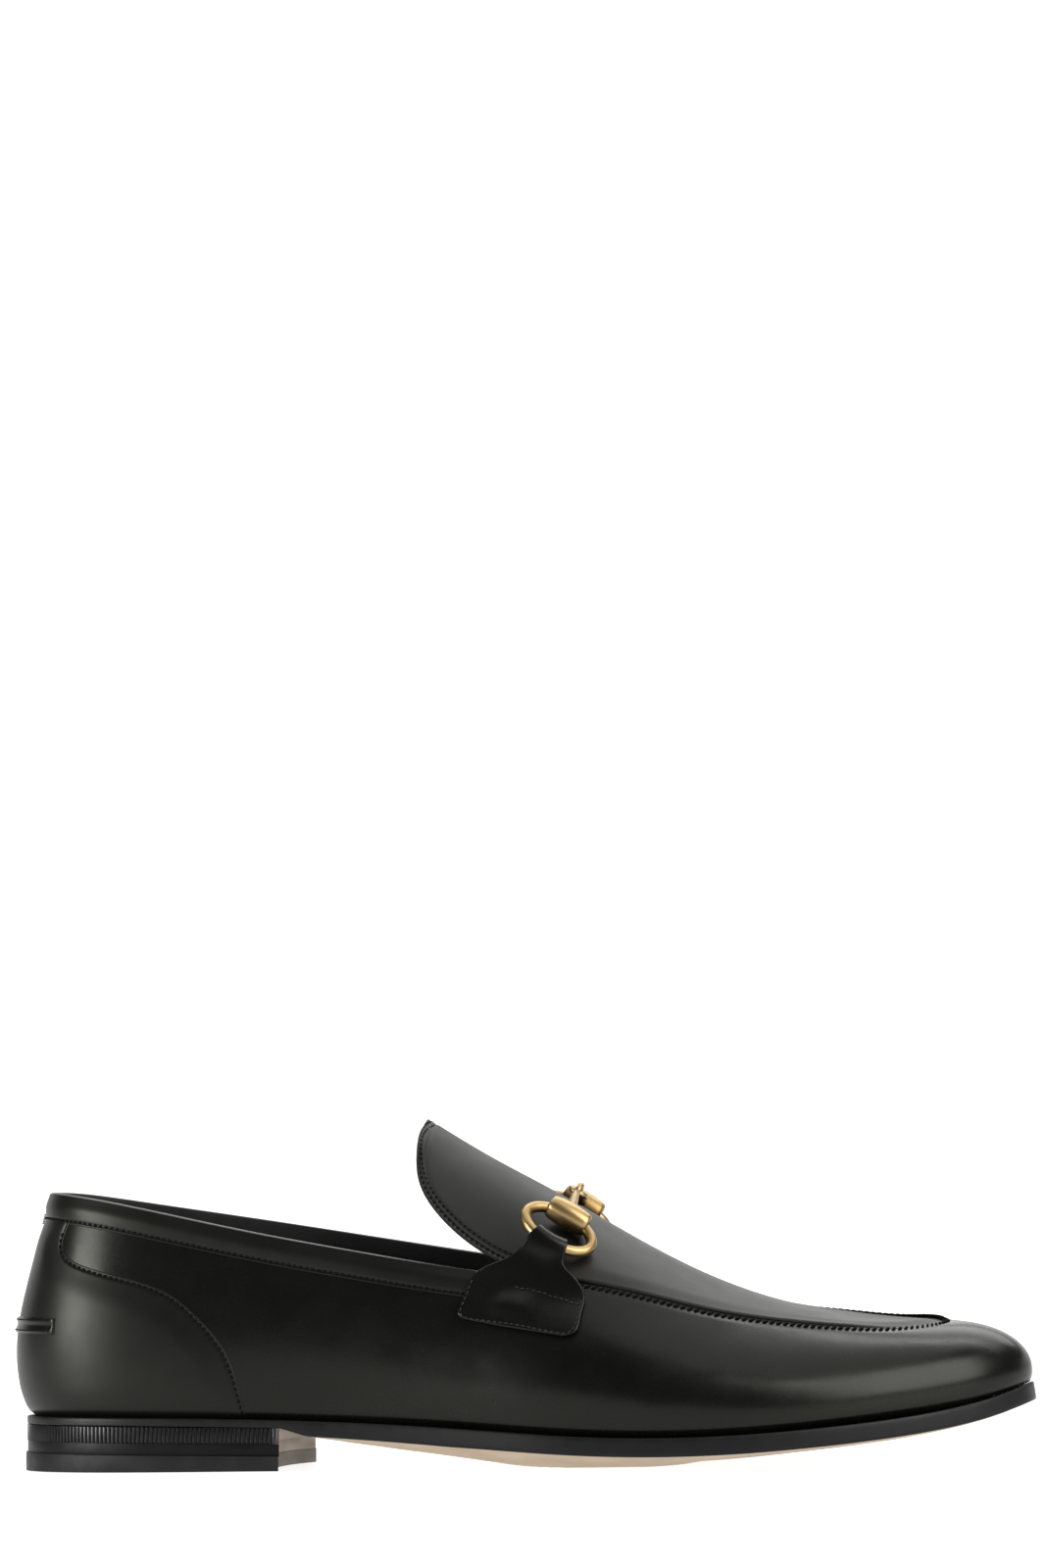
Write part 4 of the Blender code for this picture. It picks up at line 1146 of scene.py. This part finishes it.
def make_bit(seat, side_name):
    """Ring, barrel, eye and stem of one half as one casting, with the painted light and shade of each point
    as its tone.
    """
    side, barrel, along, out, lift = seat
    shape = Shape()
    angle = full_turn(112)
    ring = ring_point(seat, angle)
    radial = out * np.cos(angle)[:, None] / RING_REACH * 2 + along * np.sin(angle)[:, None] / RING_LONG
    cos, sin = add_tube(shape, ring, unit(radial), lift, RING_WIRE, True)
    # Painted light and shade on the ring: lighter on its outer side and on top, darker inside
    ring_tone = np.tile(0.45 + 0.3 * cos + 0.25 * np.maximum(sin, 0), len(ring))

    half = np.array([row[1:] for row in BARREL])
    steps, fat, end_shade = np.concatenate([half, half[::-1] * (-1, 1, 1)]).T
    line = barrel + along * (0.5 * BARREL_LONG * steps)[:, None]
    cos, sin = add_tube(shape, line, out * BARREL_WIDE, lift, BARREL_FAT * fat, False, BARREL_POWER)
    # Painted shade on the barrel: lighter on top, darker underneath and at its ends
    barrel_tone = 0.55 + 0.45 * np.tile(sin, len(line)) - np.repeat(end_shade, len(sin))

    eye = eye_centre(side, 0.5 * (BIT[0][1] + BIT[1][1]) * MM + EYE_AHEAD)
    level = np.array([0.0, 1.0, 0.0])
    second = np.cross(along, level) if side < 0 else along
    turn = full_turn(48)[:, None]
    radial = np.cos(turn) * level + np.sin(turn) * second
    cos, sin = add_tube(shape, eye + EYE_RING * radial, radial, unit(np.cross(level, second)), EYE_WIRE, True)
    # Painted light on the eye: lighter on its outer side
    eye_tone = np.tile(0.55 + 0.3 * cos, len(turn))

    end = eye + np.array([0.0, side * (EYE_RING + STEM_SINK), 0.0])
    path = smooth_line([0.0, 0.5, 1.0], [barrel, 0.5 * (barrel + end) + lift * STEM_BOW, end])
    run = np.linspace(0, 1, 24)
    bar = path(run)
    thick = np.interp(run, [0, 0.3, 0.5, 1], [STEM * 1.35, STEM * 1.1, STEM, EYE_WIRE])
    add_tube(shape, bar, *bar_frame(bar), thick, False)
    stem_tone = np.full(len(bar) * TUBE_SIDES, 0.6)

    node = "bit_half_" + side_name
    piece = place(loose_form(shape), "bit_skin_" + side_name, ("brass",), "brass", (node,), 60)
    set_tone(piece, np.concatenate([ring_tone, barrel_tone, eye_tone, stem_tone]))
    return piece


def sole_turns():
    ends = np.array([0, 0.04, 0.1, 0.18, 0.3, 0.42, 0.55, 0.68, 0.8, 0.9])
    return np.concatenate([ends, np.linspace(1, TOE - 1, 150), TOE - ends[::-1]])


def sole_layer(spread, inset=0.0):
    """Sections and shares of a sole layer, its grid from side to side, its swell downwards and its width."""
    turns = sole_turns()
    share = 2 * spread_ends(41) - 1
    left, right = [sole_outline(side, spread) - outward(side) * inset for side in (turns, TURNS - turns)]
    part = (share[None, :, None] + 1) / 2
    flat = left[:, None] * (1 - part) + right[:, None] * part
    width = np.linalg.norm(right - left, axis=1)[:, None]
    full = (1 - np.abs(share) ** BELLY_POWER)[None] * np.minimum(width / BELLY_WIDTH, 1)
    return turns, share, flat, belly(flat[..., 0]) * full, width


def make_outsole():
    """Sole with a rounded black edge and a natural underside."""
    turns, share, flat, swell, width = sole_layer(WELT, SOLE_ROUND)
    shape = Shape()
    high = flat.copy()
    high[..., 2] -= GAP + 0.5 * swell
    shape.add_grid(high, 0)
    low = flat.copy()
    low[..., 2] = np.maximum(flat[..., 2] - GAP - edge_depth(flat[..., 0]) - swell, floor_at(flat[..., 0]))
    shape.add_grid(low, 1)
    around = np.concatenate([turns, TURNS - turns[::-1][1:-1]])
    rows = []
    plan, out = sole_outline(around, WELT), outward(around)
    heel = ease((HEEL_BREAST - plan[:, 0]) / HEEL_FADE)
    for inset, from_top, from_low in SOLE_PROFILE:
        tight = 1 - (1 - HEEL_EDGE_ROUND) * heel if from_top is None else np.ones_like(heel)
        point = plan - out * (inset * MM * tight)[:, None]
        depth = edge_depth(point[:, 0])
        size = MM * np.minimum(depth / PROFILE_DEPTH, 1)
        drop = from_top * size if from_top is not None else depth - from_low * size
        slant = TOE_SLANT * hump(around - TOE) * (drop / depth - 0.5) * (1 - inset)
        point += out * slant[:, None]
        point[:, 2] = point[:, 2] - GAP - drop
        rows.append(point)
    shape.add_grid(np.array(rows).transpose(1, 0, 2), 0, loop_rows=True)
    return place_shape(shape, "outsole_skin", ("sole_edge", "natural"), "sole_leather", ("outsole",), 60)


def make_insole():
    """Leather sock with a slightly cupped heel."""
    turns, share, flat, swell, width = sole_layer(-(WALL + SOCK_GAP))
    low = flat.copy()
    low[..., 2] -= 0.5 * swell
    from_end = np.minimum(turns, TOE - turns)[:, None] * SOCK_END
    edge = np.minimum(width * (1 - np.abs(share)[None]) / 2, from_end)
    cup = HEEL_CUP * np.square(share)[None] * fade(-flat[..., 0], *CUP_FADE)
    high = low.copy()
    high[..., 2] += INSOLE * quarter((edge + SOCK_EDGE) / SOCK_ROUND) + cup
    shape = Shape()
    a, b = shape.add_grid(high), shape.add_grid(low)
    for i in range(len(turns) - 1):
        shape.add_faces([[a[i, 0], a[i + 1, 0], b[i + 1, 0], b[i, 0]],
                         [a[i + 1, -1], a[i, -1], b[i, -1], b[i + 1, -1]]])
    return place_shape(shape, "insole_skin", ("sock",), "lining", ("insole",))


def heel_ring(spread, tooth, shift):
    """Outline of a heel layer: round the back with ribs, then along the hollow breast."""
    start = section_at(HEEL_BREAST, -1, FOOT)
    end = section_at(HEEL_BREAST, 1, FOOT) - TURNS
    fine = np.linspace(start, end, 800)
    run = run_along(sole_outline(fine, WELT)[:, :2])
    count = int(run[-1] / SHOWN_RIB_PITCH) * RIB_STEPS
    stops = np.linspace(0, run[-1], count + 1)
    turn = np.interp(stops, run, fine)
    wave = np.maximum(np.cos(np.arange(count + 1) / RIB_STEPS * 2 * math.pi), RIB_VALLEY)
    fade = ease(stops / RIB_FADE) * ease((run[-1] - stops) / RIB_FADE)
    depth = -tooth * (1 - wave) / (1 - RIB_VALLEY) * fade
    back = sole_outline(turn, WELT + spread) + outward(turn) * depth[:, None]
    share = np.linspace(-1, 1, 43)[1:-1]
    half, middle = 0.5 * (back[0] - back[-1]), 0.5 * (back[0] + back[-1])
    breast = middle + half * share[:, None]
    breast[:, 0] -= (BREAST_HOLLOW + shift) * (1 - share ** 2)
    return np.vstack([back, breast])[:, :2], len(back)


def make_heel_layer(node, looks, slot, spread, low, high, tooth, bevel):
    """Closed layer between two heights; with no low height it stands on the floor."""
    shape = Shape()
    rows = []
    sizes = ((bevel, 0), (0.3 * bevel, 0.3 * bevel), (0, bevel))
    for inset, climb, top in [(*size, False) for size in sizes] + [(*size, True) for size in sizes[::-1]]:
        ring, back = heel_ring(spread - inset, tooth, inset)
        base = floor_at(ring[:, 0]) if low is None else np.full(len(ring), low)
        rows.append(np.column_stack([ring, np.full(len(ring), high - climb) if top else base + climb]))
    index = shape.add_points(np.array(rows).transpose(1, 0, 2))
    shape.add_index(index[:back], 0)
    shape.add_index(np.vstack([index[back - 1:], index[:1]]), 1)
    shape.add_faces([index[:, 0].tolist(), index[::-1, -1].tolist()], 0)
    return place_shape(shape, node + "_skin", looks, slot, (node,), 35)


def make_heel():
    band_top = seat_low()
    band_low = band_top - RIB_BAND
    leather = "heel_leather"
    make_heel_layer("heel_rib_band", ("rib_edge", "natural_stack"), leather, 0.0,
                    band_low, band_top + GAP, SHOWN_RIB_DEPTH, LEATHER_BEVEL)
    make_heel_layer("heel_stack", ("heel_edge", "natural_stack"), leather, STACK_SPREAD,
                    TOP_LIFT, band_low, 0.0, LEATHER_BEVEL)
    make_heel_layer("top_lift", ("rubber", "lift_front"), "rubber", LIFT_STEP,
                    None, TOP_LIFT, 0.0, LIFT_BEVEL)


def add_stitches(shape, kind, points, normals):
    """Row of small raised stitches of one kind along points of a surface."""
    pitch, length, radius, lift = [size * MM for size in STITCHES[kind][:4]]
    slant = STITCHES[kind][4]
    run = run_along(points)
    count = max(int(run[-1] / pitch), 1)
    stops = (np.arange(count) + 0.5) * run[-1] / count

    def at(values, where):
        return np.stack([np.interp(where, run, values[:, k]) for k in range(3)], axis=1)

    centre, normal = at(points, stops), unit(at(normals, stops))
    ahead = unit(at(points, stops + STITCH_AHEAD) - at(points, stops - STITCH_AHEAD))
    side = unit(np.cross(normal, ahead))
    ahead = ahead * math.cos(slant) + side * math.sin(slant)
    side = np.cross(normal, ahead)
    reach, fat = np.array(STITCH_PROFILE).T
    bow = radius * (0.75 - 1.5 * reach ** 4) + lift
    turn = full_turn(6)
    line = centre[:, None] + ahead[:, None] * (reach * 0.5 * length)[None, :, None]
    line = line + normal[:, None] * bow[None, :, None]
    ring = side[:, None] * np.cos(turn)[None, :, None] + normal[:, None] * np.sin(turn)[None, :, None]
    grid = line[:, :, None] + ring[:, None] * (radius * fat)[None, :, None, None]
    for stitch in grid:
        shape.add_ends(shape.add_grid(stitch, loop_cols=True))


def place_stitches(shape, name, look="thread"):
    return place(welded_form(shape, 1e-7), name, (look,), "calf", (), 80)


def stitch_band():
    """Row along the lower edge of the topline band, and the tack at the back."""
    shape = Shape()
    turns = band_turns(500)
    low = band_edge(turns)
    v = low + (1 - low) * STITCH_INSET / BAND_DEPTH
    normal = wall_normal(turns, v)
    add_stitches(shape, "edge", skin_point(turns, v) + normal * band_offset(STITCH_INSET), normal)
    tack = np.linspace(-TACK_HALF, TACK_HALF, 5)
    for climb in TACK_CLIMBS:
        level = band_edge(tack) + climb / BACK_HEIGHT
        face = wall_normal(tack, level)
        add_stitches(shape, "tack", skin_point(tack, level) + face * TACK_LIFT, face)
    return place_stitches(shape, "stitches_band")


def stitch_counter():
    """Row along the counter's front edge, on the heel side of it."""
    shape = Shape()
    shares = counter_rows(160)[2:-9]
    for side in (-1, 1):
        u = np.array([-side * counter_reach(q, side) for q in shares])
        v = np.array([float(counter_level(q, one)) for q, one in zip(shares, u)])
        edge, normal = skin_point(u, v), wall_normal(u, v)
        inward = np.cross(normal, unit(np.gradient(edge, axis=0)))
        inward *= np.sign((inward[:, 0] * -1).mean())
        points = edge + unit(inward) * STITCH_INSET + normal * counter_offset(STITCH_INSET)
        add_stitches(shape, "edge", points, normal)
    return place_stitches(shape, "stitches_counter")


def inset_shares(rib, places, inset):
    """Share of each rib's length that lies a set distance inside its edge."""
    lines = [rib(place, np.linspace(0, 1, 21)) for place in places]
    return np.array([inset / np.linalg.norm(np.diff(line, axis=0), axis=1).sum() for line in lines])


def rib_row(rib, places, shares, step):
    """Points and upward normals at shares of some ribs."""
    points = np.array([rib(a, np.array([b - 0.01, b, b + 0.01])) for a, b in zip(places, shares)])
    ahead = np.array([rib(a + step, np.array([b]))[0] for a, b in zip(places, shares)])
    normal = unit(np.cross(ahead - points[:, 1], points[:, 2] - points[:, 0]))
    return points[:, 1], normal * np.sign(normal[:, 2].mean())


def tongue_row(inset):
    """Row on the tongue, a set distance inside its free edge."""
    start = column(TONGUE, TONGUE_COLUMNS, "crest_x")[0]
    lengths = np.linspace(TONGUE_ROW_END, start + inset, 120)
    shares = inset_shares(tongue_rib, lengths, inset)
    tip = np.linspace(shares[-1], 1 - shares[-1], 30)[1:-1]
    x = np.concatenate([lengths, np.full(len(tip), lengths[-1]), lengths[::-1]])
    return rib_row(tongue_rib, x, np.concatenate([shares, tip, 1 - shares[::-1]]), TONGUE_STEP)


def soften(points, reach):
    """Running average that keeps the ends."""
    kernel = np.ones(2 * reach + 1) / (2 * reach + 1)
    padded = np.vstack([np.repeat(points[:1], reach, 0), points, np.repeat(points[-1:], reach, 0)])
    return np.stack([np.convolve(padded[:, k], kernel, "valid") for k in range(3)], axis=1)


def stitch_tongue():
    shape = Shape()
    for inset in TONGUE_ROWS:
        edge, normal = tongue_row(inset)
        normal = soften(normal, 5)
        points = soften(edge, 5) + normal * (APRON_GAP + APRON - 0.6 * TONGUE_SINK)
        add_stitches(shape, "tongue", points, normal)
    return place_stitches(shape, "stitches_tongue")


def stitch_seam():
    """Whipped seam: long slanted stitches on the wall, and on the medial side a row over the low lip."""
    shape = Shape()
    turns = np.linspace(SEAM_START, TURNS - SEAM_START, 700)
    v = wall_level(turns, np.full(len(turns), SEAM_DEPTH))
    add_stitches(shape, "seam", skin_point(turns, v), wall_normal(turns, v))
    turns = np.linspace(FAR_SEAM_START, TURNS - SEAM_START, 400)
    normal = unit(wall_normal(turns, 0.98) + np.array([0.0, 0.0, 1.0]))
    add_stitches(shape, "far_seam", TOP(turns) + normal * FAR_SEAM_LIFT, normal)
    return place_stitches(shape, "stitches_seam")


def stitch_loop(seat, side):
    """Row along the loop's sides and hem, and one across it."""
    grid, normal, run, shares = loop_grid(seat)
    outer = grid + normal * 0.5 * LOOP
    shape = Shape()
    every = np.arange(len(shares))
    hem, lip, cross = [np.argmin(np.abs(run - at), axis=1) for at in (STITCH_INSET, LOOP_LIP, LOOP_CROSS)]

    def strip(share_of, first, last):
        columns = np.arange(first, last)
        wide = np.linalg.norm(grid[-1, columns] - grid[0, columns], axis=1)
        rows = np.interp(share_of(STITCH_INSET / wide), shares, every)
        low = np.floor(rows).astype(int)
        part = (rows - low)[:, None]
        return [a[low, columns] * (1 - part) + a[np.minimum(low + 1, len(shares) - 1), columns] * part
                for a in (outer, normal)]

    def across(columns, first, last):
        keep = (shares > first) & (shares < last)
        return [a[every, columns][keep] for a in (outer, normal)]

    rear = strip(lambda share: share, hem[0], lip[0])
    front = strip(lambda share: 1 - share, hem[-1], lip[-1])
    margin = STITCH_INSET / LOOP_WIDE
    bottom = across(hem, margin, 1 - margin)
    row = [np.vstack([a[::-1], b, c]) for a, b, c in zip(rear, bottom, front)]
    add_stitches(shape, "loop", soften(row[0], 3), soften(row[1], 3))
    add_stitches(shape, "loop_cross", *across(cross, *CROSS_SHARES))
    # The loops' stitches use a lighter copy of the thread, a painted highlight of light they catch
    return place_stitches(shape, "stitches_loop_" + side, "thread_pale")


def stitch_heel_tab():
    shape = Shape()
    u = np.linspace(-HEEL_TAB_REACH, HEEL_TAB_REACH, 60) * 0.96
    for z in (HEEL_TAB_LOW + TAB_INSET, HEEL_TAB_HIGH - TAB_INSET):
        v = level_at_height(u, z)
        normal = wall_normal(u, v)
        points = skin_point(u, v) + normal * (COUNTER_FACE + HEEL_TAB - TAB_SINK)
        add_stitches(shape, "heel_tab", points, normal)
    return place_stitches(shape, "stitches_heel_tab")


class Nodes:
    """Short hand for building a material's nodes."""

    def __init__(self, name):
        self.material = bpy.data.materials.new(name)
        self.material.use_nodes = True
        self.tree = self.material.node_tree
        self.place = self.add("TexCoord").outputs["Object"]

    def fill(self, node, inputs):
        """Link the inputs that come from another node and set the rest."""
        for key, value in inputs.items():
            socket = node.inputs[key.replace("_", " ")]
            if isinstance(value, bpy.types.NodeSocket):
                self.tree.links.new(value, socket)
            else:
                socket.default_value = value

    def add(self, kind, **inputs):
        made = self.tree.nodes.new("ShaderNode" + kind)
        self.fill(made, inputs)
        return made

    def noise(self, scale, detail, rough=0.5, stretch=None):
        place = self.place
        if stretch is not None:
            place = self.add("Mapping", Vector=place, Scale=stretch).outputs["Vector"]
        return self.add("TexNoise", Vector=place, Scale=scale, Detail=detail, Roughness=rough).outputs["Fac"]

    def cells(self, scale):
        return self.add("TexVoronoi", Vector=self.place, Scale=scale).outputs["Distance"]

    def ramp(self, source, *stops):
        """Colours or grey tones at stops."""
        made = self.add("ValToRGB", Fac=source)
        while len(made.color_ramp.elements) < len(stops):
            made.color_ramp.elements.new(0.5)
        for element, (where, colour) in zip(made.color_ramp.elements, stops):
            element.position = where
            element.color = (*colour, 1.0) if isinstance(colour, tuple) else (colour, colour, colour, 1.0)
        return made.outputs["Color"]

    def clouds(self, low, high, *noise, stops=(0.3, 0.7)):
        """Two colours or tones mixed by a noise."""
        return self.ramp(self.noise(*noise), *zip(stops, (low, high)))

    def bump(self, source, strength, distance, **below):
        made = self.add("Bump", Height=source, Strength=strength, Distance=distance, **below)
        return made.outputs["Normal"]

    def finish(self, **inputs):
        self.fill(self.tree.nodes["Principled BSDF"], inputs)
        return self.material


def calf_look(name, gloss):
    """Smooth polished leather: fine pores, faint waves of the lasted skin, cloudy polish."""
    made = Nodes(name)
    waves = made.bump(made.noise(36, 2), 0.12, 0.002)
    soft = made.bump(made.noise(420, 3), 0.1, 0.00012, Normal=waves)
    pores = made.ramp(made.cells(2300), (0.0, 0.0), (0.35, 1.0))
    return made.finish(
        Specular_IOR_Level=0.23,
        Specular_Tint=(1.0, 1.0, 0.9, 1.0),
        Base_Color=made.clouds(CALF_DARK, CALF_LIGHT, 38, 4, stops=(0.3, 0.72)),
        Roughness=made.clouds(gloss, gloss + 0.06, 95, 5, 0.6, stops=(0.3, 0.75)),
        Normal=made.bump(pores, 0.04, 0.00006, Normal=soft),
    )


def lining_look(name, dark, light):
    made = Nodes(name)
    return made.finish(
        Specular_IOR_Level=0.35,
        Base_Color=made.clouds(dark, light, 60, 4),
        Roughness=made.clouds(0.55, 0.68, 200, 3),
        Normal=made.bump(made.cells(1500), 0.25, FINE_BUMP),
    )


def edge_look(name, tone, gloss, shine):
    """Black dressed leather edge, with fine level lines from the finishing iron."""
    made = Nodes(name)
    return made.finish(
        Specular_IOR_Level=shine,
        Base_Color=made.clouds(tone * 0.8, tone * 1.3, 70, 4),
        Roughness=made.clouds(gloss, gloss + 0.15, 180, 4),
        Normal=made.bump(made.noise(300, 3, 0.6, (0.15, 0.15, 1.0)), 0.18, 0.00015),
    )


def natural_look(name, pale, deep, *noise):
    """Undyed sole leather with fibre and clouding, which a stretched noise turns into level layers."""
    made = Nodes(name)
    fibre = made.bump(made.noise(900, 4, 0.7), 0.15, FINE_BUMP)
    return made.finish(
        Specular_IOR_Level=0.3,
        Base_Color=made.clouds(deep, pale, *noise),
        Roughness=made.clouds(0.5, 0.65, 160, 4),
        Normal=made.bump(made.cells(600), 0.1, FINE_BUMP, Normal=fibre),
    )


def rubber_look(name):
    made = Nodes(name)
    return made.finish(
        Specular_IOR_Level=0.16,
        Base_Color=made.clouds(0.007, 0.012, 90, 4),
        Roughness=made.clouds(0.42, 0.55, 300, 3),
        Normal=made.bump(made.noise(1400, 2), 0.12, FINE_BUMP),
    )


def thread_look(name, dark, light, shine):
    made = Nodes(name)
    return made.finish(
        Specular_IOR_Level=shine,
        Base_Color=made.clouds(dark, light, 900, 2),
        Roughness=made.clouds(0.6, 0.75, 700, 2),
        Normal=made.bump(made.noise(5000, 2), 0.3, FINE_BUMP),
    )


def brass_look(name):
    """Aged brass: random wear from a noise, plus the painted light and shade of the tone attribute, bright on
    top and outside, brown underneath and in the hollows.
    """
    made = Nodes(name)
    tone = made.add("Attribute")
    tone.attribute_name = "tone"
    mix = made.add("Math")
    mix.operation = "MULTIPLY_ADD"
    mix.inputs[1].default_value = 0.5
    made.tree.links.new(made.noise(260, 4, 0.6), mix.inputs[0])
    made.tree.links.new(tone.outputs["Fac"], mix.inputs[2])
    # Random wear from the noise plus painted light and shade from the tone attribute
    wear_and_painted_light = mix.outputs[0]
    return made.finish(
        Metallic=1.0,
        Base_Color=made.ramp(wear_and_painted_light, (0.3, BRASS_DARK), (0.62, BRASS_MIDDLE), (1.0, BRASS_BRIGHT)),
        Roughness=made.ramp(wear_and_painted_light, (0.3, 0.5), (1.0, 0.37)),
        Normal=made.bump(made.noise(700, 3), 0.08, FINE_BUMP),
    )


def floor_look(name):
    made = Nodes(name)
    return made.finish(
        Roughness=0.38,
        Specular_IOR_Level=0.4,
        Emission_Strength=TABLE_GLOW,
        Emission_Color=(1.0, 1.0, 1.0, 1.0),
        Base_Color=made.clouds(0.24, 0.26, 3, 2),
    )


def make_stage():
    """Pale floor that sweeps up behind the shoe."""
    profile = [(FLOOR_FRONT, 0.0), (FLOOR_BACK, 0.0)]
    for turn in np.linspace(0, math.pi / 2, 13)[1:]:
        profile.append((FLOOR_BACK + SWEEP * math.sin(turn), SWEEP - SWEEP * math.cos(turn)))
    profile.append((FLOOR_BACK + SWEEP, WALL_HEIGHT))
    shape = Shape()
    widths = np.linspace(-FLOOR_HALF, FLOOR_HALF, 15)
    shape.add_grid(np.array([[(x, y, z - FLOOR_DROP) for y, z in profile] for x in widths]))
    floor = build(welded_form(shape), "floor", ("floor",))


def make_lights():
    for name, where, aim, size, power in LIGHTS:
        light = bpy.data.lights.new(name, "AREA")
        light.shape = "RECTANGLE"
        light.size, light.size_y = size
        light.energy = power
        lamp = bpy.data.objects.new(name, light)
        lamp.location = where
        lamp.rotation_euler = (Vector(where) - Vector(aim)).to_track_quat("Z", "Y").to_euler()
        bpy.context.scene.collection.objects.link(lamp)
    world = bpy.data.worlds.new("studio")
    world.use_nodes = True
    back = world.node_tree.nodes["Background"]
    back.inputs["Color"].default_value = (1.0, 1.0, 1.0, 1.0)
    back.inputs["Strength"].default_value = WORLD_LIGHT
    scene = bpy.context.scene
    scene.world = world
    scene.view_settings.view_transform = "Standard"


def make_camera():
    azimuth, elevation = math.radians(CAMERA_AZIMUTH), math.radians(CAMERA_ELEVATION)
    level = math.cos(elevation)
    toward = Vector((math.sin(azimuth) * level, -math.cos(azimuth) * level, math.sin(elevation)))
    data = bpy.data.cameras.new("camera")
    data.sensor_fit = "VERTICAL"
    data.sensor_height = 24.0
    data.lens = CAMERA_LENS
    data.shift_x, data.shift_y = CAMERA_SHIFT
    camera = bpy.data.objects.new("camera", data)
    spot = Matrix.Translation(Vector(CAMERA_TARGET) + toward * CAMERA_DISTANCE)
    camera.matrix_world = STAND @ spot @ toward.to_track_quat("Z", "Y").to_matrix().to_4x4()
    bpy.context.scene.collection.objects.link(camera)
    bpy.context.scene.camera = camera


# Looks: how each is made, its name and its values
LOOK_ROWS = (
    (calf_look, "calf", 0.24),
    (calf_look, "calf_heel", 0.36),
    (calf_look, "calf_soft", 0.42),
    (lining_look, "lining", 0.012, 0.02),
    (lining_look, "sock", 0.014, 0.026),
    (edge_look, "sole_edge", 0.0035, 0.36, 0.21),
    (edge_look, "heel_edge", 0.0035, 0.36, 0.12),
    (edge_look, "rib_edge", 0.005, 0.28, 0.52),
    (natural_look, "natural", (0.50, 0.40, 0.29), (0.40, 0.30, 0.20), 45, 5, 0.6),
    (natural_look, "natural_stack", (0.36, 0.30, 0.24), (0.20, 0.165, 0.135), *LAYERS),
    (natural_look, "lift_front", (0.17, 0.145, 0.12), (0.09, 0.078, 0.066), *LAYERS),
    (rubber_look, "rubber"),
    (thread_look, "thread", 0.0012, 0.003, 0.08),
    # Lighter copy of the dark thread: painted highlight for the loops' stitches
    (thread_look, "thread_pale", 0.008, 0.018, 0.2),
    (brass_look, "brass"),
    (floor_look, "floor"),
)
LOOKS = {name: look(name, *values) for look, name, *values in LOOK_ROWS}

for MAKE in (make_upper, make_apron, make_counter, make_band, make_heel_tab,
             make_outsole, make_insole, make_heel,
             stitch_band, stitch_counter, stitch_tongue, stitch_seam, stitch_heel_tab):
    MAKE()
for BIT_ROW in BIT:
    SEAT = bit_frame(BIT_ROW)
    SIDE = "lateral" if BIT_ROW[0] < 0 else "medial"
    make_loop(SEAT, SIDE)
    stitch_loop(SEAT, SIDE)
    make_bit(SEAT, SIDE)
make_stage()
make_lights()
make_camera()
